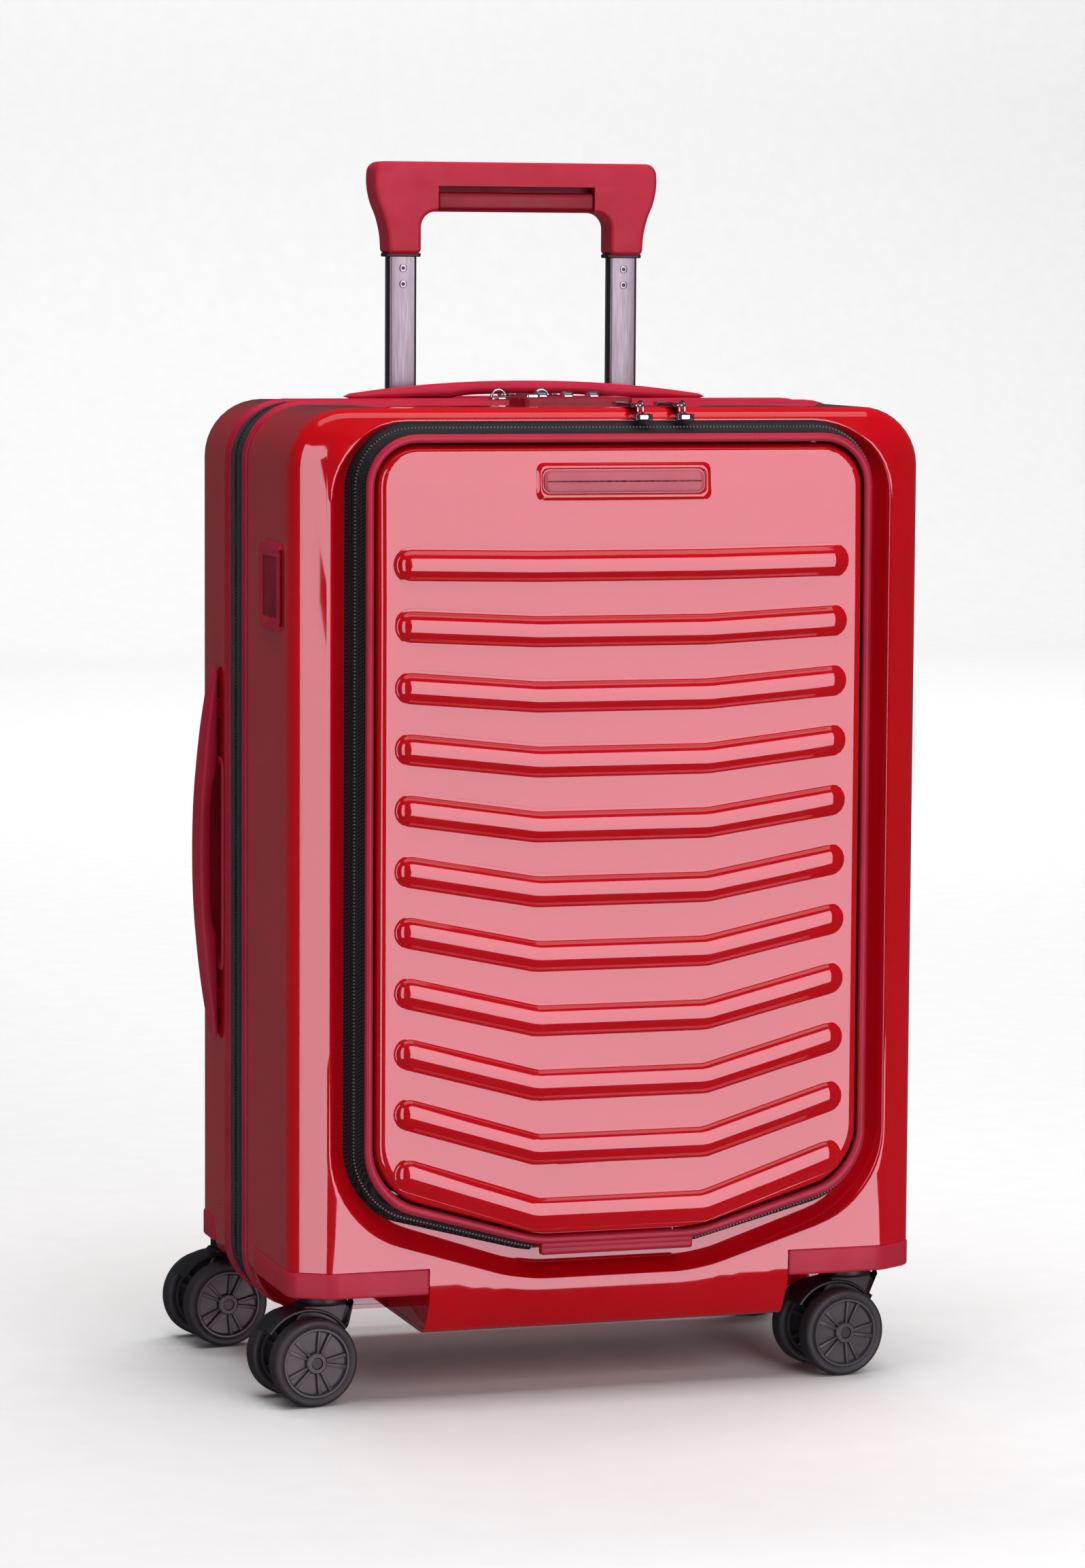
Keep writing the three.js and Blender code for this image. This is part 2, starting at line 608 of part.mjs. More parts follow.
const RELEASE = { half: 46, y1: POST_Y + 1, z0: 645, z1: 656, travel: 3 };
const GRIP_HALF_DEPTH = 10.5;

function grip() {
  const body = frontView(
    gripOutline(), POST_Y - GRIP_HALF_DEPTH, POST_Y + GRIP_HALF_DEPTH, { size: 1.6, thickness: 2.5, segments: 1 }, 3,
  );
  const inner = STAGES[2];
  const sockets = SIDES.map(([, x]) => block(
    x - inner.width / 2 - GAP, x + inner.width / 2 + GAP,
    POST_Y - inner.depth / 2 - GAP, POST_Y + inner.depth / 2 + GAP, GRIP_BASE - 5, inner.z1 + GAP,
  ));
  const room = block(
    -RELEASE.half - GAP, RELEASE.half + GAP, POST_Y - 20, RELEASE.y1 + GAP,
    RELEASE.z0 - 5, RELEASE.z1 + RELEASE.travel + GAP,
  );
  return cut(body, ...sockets, room);
}

add('grip', 'matteRed', grip());
add('release_bar', 'matteRed', sideView(
  roundedRect(POST_Y - GRIP_HALF_DEPTH + 1, RELEASE.z0 + 1, RELEASE.y1, RELEASE.z1, 2.5),
  -RELEASE.half, RELEASE.half, undefined, 2,
));

function gripWell() {
  const rim = topView(
    roundedRect(-WELL.x - 2, WELL.y0 - 1.6, WELL.x + 2, WELL.y1 + 1.6, 3), TOP + GAP, TOP + 1.5, undefined, 2,
  );
  const tub = block(
    -WELL.x + GAP, WELL.x - GAP, WELL.y0 + GAP, WELL.y1 - GAP, WELL_FLOOR - 3, TOP + 1,
  );
  const pocket = block(
    -WELL.x + 2, WELL.x - 2, WELL.y0 + 1.8, WELL.y1 - 1.8, WELL_FLOOR, TOP + 20,
  );
  const middle = STAGES[1];
  const slots = SIDES.map(([, x]) => block(
    x - middle.width / 2 - GAP, x + middle.width / 2 + GAP,
    POST_Y - middle.depth / 2 - GAP, POST_Y + middle.depth / 2 + GAP, WELL_FLOOR - 10, WELL_FLOOR + 10,
  ));
  return cut(join(rim, tub), pocket, ...slots);
}

add('grip_well', 'matteRed', gripWell());
add('handle_foot', 'blackPlastic', block(
  -POST_X - 15, POST_X + 15, POST_Y - 9, POST_Y + 6, BOTTOM + WALL + 1, FOOT_TOP,
));

// ---- corner brackets and casters ------------------------------------------------------------------------
function bracket({ x, y, side, rear }) {
  const round = rear ? BACK_ROUND : FACET;
  const footprint = frontView(caseOutline(0, -60), FRONT, BACK, round);
  const y0 = rear ? REAR_NOTCH_START + GAP : 0;
  const y1 = rear ? FAR : FRONT_NOTCH_END - GAP;
  const inner = side * (BRACKET_INNER + GAP);
  const outer = side * FAR;
  const corner = block(Math.min(inner, outer), Math.max(inner, outer), y0, y1, BRACKET_BASE, BRACKET_TOP);
  const boss = cylinder('z', 14, [x, y, BRACKET_BASE - 1.2], 3.4, 14);
  return join(footprint.intersect(corner), boss);
}

function fork() {
  const web = new THREE.Shape();
  web.moveTo(-TRAIL - 8, WHEEL_RADIUS);
  web.absarc(-TRAIL, WHEEL_RADIUS, 8, Math.PI, 1.75 * Math.PI, false);
  web.lineTo(12, WHEEL_RADIUS + 14);
  web.lineTo(13, 55);
  web.lineTo(-13, 55);
  web.closePath();
  const axle = cylinder('y', 3, [-TRAIL, 0, WHEEL_RADIUS], WHEEL_SPACING + WHEEL_THICKNESS - 2, 8);
  const cap = cylinder('z', 13.5, [0, 0, 56], 6, 14);
  return join(frontView(web, -8.5, 8.5, undefined, 3), cap, axle);
}

function wheel() {
  const half = WHEEL_THICKNESS / 2;
  const profile = [
    [3.2, -half], [22.6, -half], [WHEEL_RADIUS, -half + 2.5],
    [WHEEL_RADIUS, half - 2.5], [22.6, half], [3.2, half], [3.2, -half],
  ];
  return solid(new THREE.LatheGeometry(profile.map(([r, y]) => new THREE.Vector2(r, y)), 20));
}

for (const caster of CASTERS) {
  add(`corner_bracket_${caster.name}`, 'matteRed', bracket(caster));
  const swivel = new THREE.Group();
  swivel.position.set(caster.x, caster.y, 0);
  swivel.rotation.z = CASTER_TURN;
  suitcase.add(swivel);
  add(`caster_fork_${caster.name}`, 'blackPlastic', fork(), swivel);
  for (const [place, direction] of [['outer', -1], ['inner', 1]]) {
    const disc = add(`wheel_${caster.name}_${place}`, 'tyre', wheel(), swivel);
    disc.position.set(-TRAIL, direction * WHEEL_SPACING / 2, WHEEL_RADIUS);
  }
}

// ---- origin at the middle of the bounding box's bottom face ------------------------------------------------
suitcase.updateMatrixWorld(true);
const box = new THREE.Box3().setFromObject(suitcase, true);
const centre = box.getCenter(new THREE.Vector3());
suitcase.position.set(-centre.x, -centre.y, -box.min.z);
suitcase.updateMatrixWorld(true);

export default suitcase;
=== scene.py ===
"""Looks of a glossy red hard-shell cabin case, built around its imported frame."""
import json
import math

import bmesh
import bpy
from mathutils import Matrix, Vector

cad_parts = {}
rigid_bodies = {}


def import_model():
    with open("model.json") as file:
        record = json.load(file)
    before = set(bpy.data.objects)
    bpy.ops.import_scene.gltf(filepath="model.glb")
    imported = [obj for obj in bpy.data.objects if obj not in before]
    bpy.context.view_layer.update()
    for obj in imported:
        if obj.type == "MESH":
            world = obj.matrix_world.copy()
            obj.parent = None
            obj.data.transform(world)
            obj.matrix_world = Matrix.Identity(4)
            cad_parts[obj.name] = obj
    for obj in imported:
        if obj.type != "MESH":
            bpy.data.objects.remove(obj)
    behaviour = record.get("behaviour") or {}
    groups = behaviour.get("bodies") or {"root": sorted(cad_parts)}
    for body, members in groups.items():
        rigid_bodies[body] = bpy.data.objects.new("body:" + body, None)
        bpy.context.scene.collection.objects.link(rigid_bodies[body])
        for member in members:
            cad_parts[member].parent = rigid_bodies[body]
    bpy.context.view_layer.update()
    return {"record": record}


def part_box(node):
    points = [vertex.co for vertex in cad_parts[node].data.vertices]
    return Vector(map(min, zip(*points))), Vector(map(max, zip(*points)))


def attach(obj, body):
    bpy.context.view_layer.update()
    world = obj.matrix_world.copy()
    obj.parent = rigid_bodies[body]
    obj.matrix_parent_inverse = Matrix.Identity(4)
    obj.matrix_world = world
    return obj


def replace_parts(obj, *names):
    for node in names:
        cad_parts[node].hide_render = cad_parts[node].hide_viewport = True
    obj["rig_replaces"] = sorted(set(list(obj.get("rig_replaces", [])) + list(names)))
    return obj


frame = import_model()

# ---- the case's own drawing frame, in millimetres -----------------------------------------------
# x = 0 is the mid-plane, y = 0 the face of the front ribs, z = 0 the floor
MM = 0.001
FRONT, BACK, BOTTOM, TOP, HALF = 18.0, 240.0, 38.0, 539.0, 178.0
CORNER = 32.0
FACET_WIDTH, FACET_DEPTH = 20.0, 12.0
WALL = 2.4
SPLIT = 148.0
TROUGH_FLOOR = 27.0
SHELL_LOW, SHELL_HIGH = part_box("front_shell")
ORIGIN = Vector(((SHELL_LOW[0] + SHELL_HIGH[0]) / 2, SHELL_LOW[1] - FRONT * MM, 0))


def world(x, y, z):
    return ORIGIN + Vector((x, y, z)) * MM


def span(node):
    """A CAD node's corners in the drawing frame."""
    low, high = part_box(node)
    return [[(low[i] - ORIGIN[i]) / MM for i in range(3)], [(high[i] - ORIGIN[i]) / MM for i in range(3)]]


# ---- materials ----------------------------------------------------------------------------------
def material(name, color, roughness, **inputs):
    made = bpy.data.materials.new(name)
    made.use_nodes = True
    shader = made.node_tree.nodes["Principled BSDF"]
    shader.inputs["Base Color"].default_value = (*color, 1)
    shader.inputs["Roughness"].default_value = roughness
    for key, value in inputs.items():
        shader.inputs[key.replace("_", " ")].default_value = value
    return made


def node(made, kind, **settings):
    new = made.node_tree.nodes.new(kind)
    for key, value in settings.items():
        setattr(new, key, value)
    return new


def object_coordinates(made, scale=(1, 1, 1), turn=(0, 0, 0)):
    where = node(made, "ShaderNodeTexCoord")
    mapping = node(made, "ShaderNodeMapping")
    mapping.inputs["Scale"].default_value = scale
    mapping.inputs["Rotation"].default_value = turn
    made.node_tree.links.new(where.outputs["Object"], mapping.inputs["Vector"])
    return mapping.outputs["Vector"]


def noise(made, vector, scale, detail=4):
    texture = node(made, "ShaderNodeTexNoise")
    texture.inputs["Scale"].default_value = scale
    texture.inputs["Detail"].default_value = detail
    made.node_tree.links.new(vector, texture.inputs["Vector"])
    return texture.outputs["Fac"]


def bump(made, height, strength, distance):
    made_bump = node(made, "ShaderNodeBump")
    made_bump.inputs["Strength"].default_value = strength
    made_bump.inputs["Distance"].default_value = distance
    made.node_tree.links.new(height, made_bump.inputs["Height"])
    shader = made.node_tree.nodes["Principled BSDF"]
    made.node_tree.links.new(made_bump.outputs["Normal"], shader.inputs["Normal"])


def ramp(made, factor, socket, stops):
    ramp_node = node(made, "ShaderNodeValToRGB")
    elements = ramp_node.color_ramp.elements
    while len(elements) < len(stops):
        elements.new(0.5)
    for element, (place, color) in zip(elements, stops):
        element.position = place
        element.color = (*color, 1)
    made.node_tree.links.new(factor, ramp_node.inputs["Fac"])
    shader = made.node_tree.nodes["Principled BSDF"]
    made.node_tree.links.new(ramp_node.outputs["Color"], shader.inputs[socket])


def grey(value):
    return (value, value, value)


def gloss_red():
    made = material("gloss_red", (0.54, 0.0, 0.006), 0.1, Coat_Weight=1.0, Coat_Roughness=0.03, IOR=1.5)
    vector = object_coordinates(made)
    ramp(made, noise(made, vector, 9), "Base Color", [(0.3, (0.51, 0.0, 0.004)), (0.7, (0.57, 0.001, 0.008))])
    ramp(made, noise(made, vector, 60), "Roughness", [(0.4, grey(0.07)), (0.75, grey(0.14))])
    bump(made, noise(made, vector, 210, 2), 0.02, 0.0002)
    return made


def matte_red(name="satin_red", low=(0.42, 0.008, 0.032), high=(0.48, 0.012, 0.042), rough=(0.4, 0.52)):
    made = material(name, high, rough[1], Specular_IOR_Level=0.22)
    vector = object_coordinates(made)
    ramp(made, noise(made, vector, 25), "Base Color", [(0.3, low), (0.7, high)])
    ramp(made, noise(made, vector, 90), "Roughness", [(0.35, grey(rough[0])), (0.7, grey(rough[1]))])
    bump(made, noise(made, vector, 2600, 2), 0.18, 0.00012)
    return made


def woven(name, dark, light, pitch=0.0011, sheen=0.05):
    """Herringbone: diagonal ridges whose slant flips from one narrow band to the next."""
    made = material(name, dark, 0.9, Sheen_Weight=sheen, Sheen_Roughness=0.4, Specular_IOR_Level=0.1)
    ridges = []
    for slant in (1, -1):
        wave = node(made, "ShaderNodeTexWave", wave_type="BANDS", bands_direction="DIAGONAL")
        wave.inputs["Scale"].default_value = 0.32 / pitch
        wave.inputs["Distortion"].default_value = 0.6
        wave.inputs["Detail"].default_value = 1
        vector = object_coordinates(made, (slant, 1, 1))
        made.node_tree.links.new(vector, wave.inputs["Vector"])
        ridges.append(wave.outputs["Fac"])
    mix = node(made, "ShaderNodeMath", operation="MULTIPLY")
    made.node_tree.links.new(ridges[0], mix.inputs[0])
    made.node_tree.links.new(ridges[1], mix.inputs[1])
    ramp(made, mix.outputs[0], "Base Color", [(0.1, dark), (0.75, light)])
    bump(made, mix.outputs[0], 0.5, 0.0003)
    return made


def brushed_metal(name, color, roughness, stretch=(40, 40, 1)):
    made = material(name, color, roughness, Metallic=1.0)
    vector = object_coordinates(made, stretch)
    grain = noise(made, vector, 60)
    ramp(made, grain, "Roughness", [(0.3, grey(roughness * 0.8)), (0.7, grey(min(1, roughness * 1.3)))])
    bump(made, grain, 0.03, 0.0001)
    return made


def plain_plastic(name, low, high, rough, grain=1800, strength=0.2):
    made = material(name, high, rough)
    vector = object_coordinates(made)
    ramp(made, noise(made, vector, 40), "Base Color", [(0.3, low), (0.7, high)])
    ramp(made, noise(made, vector, 70), "Roughness", [(0.3, grey(rough * 0.85)), (0.7, grey(min(1, rough * 1.15)))])
    bump(made, noise(made, vector, grain, 2), strength, 0.00015)
    return made


def leather():
    made = material("pull_leather", (0.05, 0.004, 0.008), 0.4, Coat_Weight=0.3, Coat_Roughness=0.2)
    cells = node(made, "ShaderNodeTexVoronoi", feature="DISTANCE_TO_EDGE")
    cells.inputs["Scale"].default_value = 900
    made.node_tree.links.new(object_coordinates(made), cells.inputs["Vector"])
    bump(made, cells.outputs["Distance"], 0.4, 0.0002)
    return made


RED = gloss_red()
SATIN = matte_red()
PIPING = matte_red("piping_red", (0.36, 0.008, 0.03), (0.44, 0.014, 0.045), (0.3, 0.4))
LOCK_RED = matte_red("lock_red", (0.2, 0.003, 0.012), (0.26, 0.005, 0.018), (0.3, 0.42))
TAPE = woven("zip_tape_weave", (0.008, 0.008, 0.009), (0.04, 0.04, 0.043))
LINING = woven("lining_weave", (0.03, 0.03, 0.034), (0.075, 0.075, 0.082), 0.0016, 0.15)
TEETH = plain_plastic("zip_teeth", (0.012, 0.012, 0.013), (0.04, 0.04, 0.042), 0.35)
CHROME = brushed_metal("chrome", (0.6, 0.6, 0.62), 0.1, (1, 1, 1))
GUNMETAL = brushed_metal("gunmetal", (0.19, 0.19, 0.2), 0.32)
STEEL = brushed_metal("screw_steel", (0.3, 0.3, 0.31), 0.25, (1, 1, 1))
BLACK = plain_plastic("black_plastic", (0.01, 0.01, 0.011), (0.018, 0.018, 0.02), 0.45)
TYRE = plain_plastic("tyre_rubber", (0.018, 0.017, 0.019), (0.028, 0.027, 0.03), 0.62, 2400, 0.35)
HUB = plain_plastic("hub_plastic", (0.034, 0.033, 0.038), (0.05, 0.048, 0.055), 0.42)
BADGE = matte_red("badge_tint", (0.42, 0.07, 0.1), (0.48, 0.1, 0.13), (0.16, 0.24))
LEATHER = leather()


# ---- mesh helpers -------------------------------------------------------------------------------
def rounded(corners, steps=10, edge=6):
    """Points of a closed outline: each corner (x, z, radius) becomes an arc, each edge a few points."""
    arcs = []
    count = len(corners)
    for index, (x, z, radius) in enumerate(corners):
        corner = Vector((x, z))
        before = Vector(corners[index - 1][:2]) - corner
        after = Vector(corners[(index + 1) % count][:2]) - corner
        start = corner + before.normalized() * radius
        end = corner + after.normalized() * radius
        handle_a, handle_b = start.lerp(corner, 0.55), end.lerp(corner, 0.55)
        arc = []
        for step in range(steps + 1):
            t = step / steps
            arc.append(start * (1 - t) ** 3 + handle_a * 3 * t * (1 - t) ** 2
                       + handle_b * 3 * t * t * (1 - t) + end * t ** 3)
        arcs.append(arc)
    points = []
    for index, arc in enumerate(arcs):
        points += arc
        following = arcs[(index + 1) % count][0]
        points += [arc[-1].lerp(following, k / edge) for k in range(1, edge)]
    return points


def six_sided(half, top, bottom, side_bottom, top_radius, bottom_radius, flat=46, flat_radius=8):
    return rounded([
        (flat, bottom, flat_radius), (half, side_bottom, bottom_radius), (half, top, top_radius),
        (-half, top, top_radius), (-half, side_bottom, bottom_radius), (-flat, bottom, flat_radius),
    ])


def case_outline(inset):
    radius = max(CORNER - inset, 6)
    return six_sided(HALF - inset, TOP - inset, BOTTOM + inset, BOTTOM + inset, radius, radius)


def door_outline(offset):
    return six_sided(140 + offset, 523.5 + offset, 91 - offset, 118 - offset, 26 + offset, 26 + offset / 2)


def crest_outline(offset):
    return six_sided(157 + offset, 532 + 0.4 * offset, 68 - offset, 101 - offset, 42 + offset, 40 + offset / 2, 50, 14)


def depth_inside(x, z):
    """Distance from the case's outline to a point within it."""
    centre = (TOP + BOTTOM) / 2
    qx = abs(x) - (HALF - CORNER)
    qz = abs(z - centre) - ((TOP - BOTTOM) / 2 - CORNER)
    outside = math.hypot(max(qx, 0), max(qz, 0))
    return CORNER - outside - min(max(qx, qz), 0)


def facet_y(x, z):
    """The front of the case: a facet that falls back to the side wall, softened where it ends."""
    share = depth_inside(x, z) / FACET_WIDTH
    soft = 0.12
    blend = max(0.0, min(1.0, 0.5 + 0.5 * (1 - share) / soft))
    level = share * blend + (1 - blend) - soft * blend * (1 - blend)
    return FRONT + FACET_DEPTH * (1 - min(level, 1))


def mesh_object(name, points, faces, skin, smooth=math.radians(40)):
    """A mesh in world metres from points in the drawing frame."""
    mesh = bpy.data.meshes.new(name)
    mesh.from_pydata([world(*p) for p in points], [], faces)
    bm = bmesh.new()
    bm.from_mesh(mesh)
    bmesh.ops.remove_doubles(bm, verts=bm.verts, dist=1e-6)
    bmesh.ops.dissolve_degenerate(bm, edges=bm.edges, dist=1e-7)
    bmesh.ops.recalc_face_normals(bm, faces=bm.faces)
    bm.to_mesh(mesh)
    bm.free()
    made = bpy.data.objects.new(name, mesh)
    bpy.context.scene.collection.objects.link(made)
    skins = skin if isinstance(skin, (list, tuple)) else [skin]
    for one in skins:
        mesh.materials.append(one)
    shade(made, smooth)
    return made


def shade(made, angle):
    mesh = made.data
    mesh.polygons.foreach_set("use_smooth", [True] * len(mesh.polygons))
    bm = bmesh.new()
    bm.from_mesh(mesh)
    for edge in bm.edges:
        if len(edge.link_faces) == 2:
            edge.smooth = edge.calc_face_angle(0) < angle
    bm.to_mesh(mesh)
    bm.free()


def loft(rings, caps=(False, False), closed=False):
    """Quads between rings of equal length; caps fill the first and last, closed joins them."""
    size = len(rings[0])
    points = [p for ring in rings for p in ring]
    faces = []
    pairs = list(range(len(rings) - 1))
    for k in pairs + ([-1] if closed else []):
        a, b = (k % len(rings)) * size, ((k + 1) % len(rings)) * size
        faces += [(a + i, a + (i + 1) % size, b + (i + 1) % size, b + i) for i in range(size)]
    if caps[0]:
        faces.append(tuple(range(size)))
    if caps[1]:
        faces.append(tuple(range((len(rings) - 1) * size, len(rings) * size)))
    return points, faces


def merged(*parts):
    points, faces = [], []
    for part_points, part_faces in parts:
        start = len(points)
        points += part_points
        faces += [tuple(start + i for i in face) for face in part_faces]
    return points, faces


def flat_ring(outline, y):
    return [(p[0], y, p[1]) for p in outline]


def finish_modifiers(made):
    """Applies every modifier, so that the mesh itself has the final shape."""
    graph = bpy.context.evaluated_depsgraph_get()
    mesh = bpy.data.meshes.new_from_object(made.evaluated_get(graph))
    made.modifiers.clear()
    made.data = mesh


def add_modifier(made, kind, **settings):
    modifier = made.modifiers.new(kind.lower(), kind)
    for key, value in settings.items():
        setattr(modifier, key, value)
    return modifier


def cut_box(made, x, y, z):
    """Removes the part of an open skin that lies in a box given by three ranges."""
    low, high = world(x[0], y[0], z[0]), world(x[1], y[1], z[1])
    bm = bmesh.new()
    bm.from_mesh(made.data)
    for axis in range(3):
        for bound in (low, high):
            normal = Vector((0, 0, 0))
            normal[axis] = 1
            near = []
            for face in bm.faces:
                corners = [v.co for v in face.verts]
                if all(min(c[i] for c in corners) <= high[i] and max(c[i] for c in corners) >= low[i]
                       for i in range(3)):
                    near.append(face)
            edges = {e for f in near for e in f.edges}
            verts = {v for f in near for v in f.verts}
            bmesh.ops.bisect_plane(bm, geom=list(verts) + list(edges) + near, dist=1e-7,
                                   plane_co=bound, plane_no=normal)
    inside = []
    for face in bm.faces:
        middle = face.calc_center_median()
        if all(low[i] - 1e-6 < middle[i] < high[i] + 1e-6 for i in range(3)):
            inside.append(face)
    bmesh.ops.delete(bm, geom=inside, context="FACES")
    bm.to_mesh(made.data)
    bm.free()


def place(made, body, slot, *nodes):
    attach(made, body)
    if nodes:
        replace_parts(made, *nodes)
    return made


def box_part(x, y, z, bevel=0.6, steps=3):
    """A box with its vertical and horizontal edges rounded, as a loft along z."""
    rings = []
    for k in range(steps + 1):
        angle = math.pi / 2 * k / steps
        inset, rise = bevel * (1 - math.sin(angle)), bevel * (1 - math.cos(angle))
        rings.append((inset, z[0] + rise))
    rings += [(inset, z[0] + z[1] - height) for inset, height in reversed(rings)]
    made = []
    for inset, height in rings:
        outline = rounded([
            (x[0] + inset, y[0] + inset, bevel), (x[1] - inset, y[0] + inset, bevel),
            (x[1] - inset, y[1] - inset, bevel), (x[0] + inset, y[1] - inset, bevel),
        ], 4, 2)
        made.append([(p[0], p[1], height) for p in outline])
    return loft(made, (True, True))


def torus_part(centre, radius, thick, u, v, steps=28, sides=10, share=1.0):
    """A round bar bent into a ring in the plane of u and v, or into a share of one."""
    centre, u, v = Vector(centre), Vector(u).normalized(), Vector(v).normalized()
    out = u.cross(v)
    rings = []
    count = steps if share == 1.0 else steps + 1
    for i in range(count):
        angle = 2 * math.pi * share * i / steps
        spoke = u * math.cos(angle) + v * math.sin(angle)
        middle = centre + spoke * radius
        rings.append([tuple(middle + (spoke * math.cos(t) + out * math.sin(t)) * thick)
                      for t in (2 * math.pi * k / sides for k in range(sides))])
    return loft(rings, (share != 1.0, share != 1.0), closed=share == 1.0)


# ---- shells -------------------------------------------------------------------------------------
BRACKET_INNER, BRACKET_TOP = 102.5, 76.3
FAR = 400
WELL_BOX = ((-90, 90), (201, 229))
TOP_SCOOP_BOX = ((-72, 72), (175, 198.6))
SIDE_SCOOP_BOX = ((177.5, 206), (222, 338))


def solidify(made, thickness=WALL):
    made.data.materials.append(LINING)
    add_modifier(made, "SOLIDIFY", thickness=thickness * MM, offset=-1, material_offset=1,
                 material_offset_rim=0, use_even_offset=True)
    finish_modifiers(made)
    shade(made, math.radians(38))


def front_shell():
    rings = [flat_ring(case_outline(0), y) for y in (124, 100, 70, 45, 36)]
    start, corner, end = Vector((0, 36)), Vector((0, 30)), Vector((5, 27))
    for k in range(1, 6):
        t = k / 5
        inset, y = start * (1 - t) ** 2 + corner * 2 * t * (1 - t) + end * t * t
        rings.append(flat_ring(case_outline(inset), y))
    facet = [
        six_sided(169, 533.7, 49, 49, 24, 24),
        six_sided(160.5, 533.3, 57.5, 57.5, 22, 20),
    ]
    facet += [crest_outline(offset) for offset in (3, 1.6)]
    for outline in facet:
        rings.append([(p[0], facet_y(p[0], p[1]), p[1]) for p in outline])
    crest = crest_outline(1.6)
    crest_y = [facet_y(p[0], p[1]) for p in crest]
    for offset, share in ((0.6, 0.03), (-0.2, 0.1), (-1.2, 0.24), (-3.5, 0.52), (-6, 0.8), (-7.6, 0.95), (-9.5, 1)):
        outline = crest_outline(offset)
        rings.append([(p[0], y + (TROUGH_FLOOR - y) * share, p[1]) for p, y in zip(outline, crest_y)])
    rings.append(flat_ring(door_outline(-5), TROUGH_FLOOR))
    made = mesh_object("front_shell_skin", *loft(rings), RED)
    for side in (1, -1):
        xs = sorted((side * BRACKET_INNER, side * FAR))
        cut_box(made, xs, (0, 106), (0, BRACKET_TOP))
    cut_box(made, (-30, 34), (92, 123.3), (TOP - 6, TOP + 5))
    solidify(made)
    place(made, "front_case", "gloss_shell", "front_shell")


def rear_shell():
    rings = [flat_ring(case_outline(0), y) for y in (172.3, 190, 210, 220)]
    for k in range(1, 9):
        angle = math.pi / 2 * k / 8
        rings.append(flat_ring(case_outline(20 * (1 - math.cos(angle))), 220 + 20 * math.sin(angle)))
    rings.append(flat_ring(case_outline(26), BACK))
    made = mesh_object("rear_shell_skin", *loft(rings, (False, True)), RED)
    for side in (1, -1):
        xs = sorted((side * BRACKET_INNER, side * FAR))
        cut_box(made, xs, (200, FAR), (0, BRACKET_TOP))
        cut_box(made, xs, (181, FAR), (0, 58))
    cut_box(made, *WELL_BOX, (TOP - 30, TOP + 5))
    cut_box(made, *TOP_SCOOP_BOX, (TOP - 5, TOP + 5))
    cut_box(made, (-HALF - 5, -HALF + 5), *SIDE_SCOOP_BOX)
    for x in (-88, 88):
        cut_box(made, (x - 6.6, x + 6.6), (182, 191), (TOP - 5, TOP + 5))
    for z in (203, 367):
        cut_box(made, (-HALF - 5, -HALF + 5), (187.4, 196.6), (z - 6.6, z + 6.6))
    solidify(made)
    place(made, "rear_case", "gloss_shell", "rear_shell")


def rib_part(z, dip, base, height, direction):
    """One raised rib: level between its folds, rising to two round ends, on a face at y = base."""
    reach, fold, steps = 118.4, 48.0, 10
    angle = math.atan2(dip, reach - fold)

    def outline(radius):
        points = [(0, z - dip - radius), (fold / 2, z - dip - radius), (fold - 2, z - dip - radius),
                  (fold + 2, z - dip + 2 * math.tan(angle) - radius / math.cos(angle)),
                  ((fold + reach) / 2, z - dip / 2 - radius / math.cos(angle))]
        for k in range(steps + 1):
            t = angle - math.pi / 2 + math.pi * k / steps
            points.append((reach + radius * math.cos(t), z + radius * math.sin(t)))
        points += [((fold + reach) / 2, z - dip / 2 + radius / math.cos(angle)),
                   (fold + 2, z - dip + 2 * math.tan(angle) + radius / math.cos(angle)),
                   (fold - 2, z - dip + radius), (fold / 2, z - dip + radius), (0, z - dip + radius)]
        return points + [(-x, h) for x, h in reversed(points[1:-1])]

    profile = ((9.6, -0.12), (8.8, 0.02), (8.0, 0.25), (7.3, 0.75), (6.8, 1.35), (6.2, 1.95), (5.2, 2.65), (4.0, 3.25),
               (2.6, 3.75), (1.2, 4.1), (0.3, 4.2))
    rings = [[(x, base + direction * lift * height / 4.2, h) for x, h in outline(radius)] for radius, lift in profile]
    return loft(rings, (True, True))


def door_slope(z):
    """How far the door's face falls back above its level part."""
    start, soft, rate = 482, 5, 3.5 / 41.5
    above = z - start
    if above < -soft:
        return 0.0
    if above > soft:
        return above * rate
    return rate * (above + soft) ** 2 / (4 * soft)


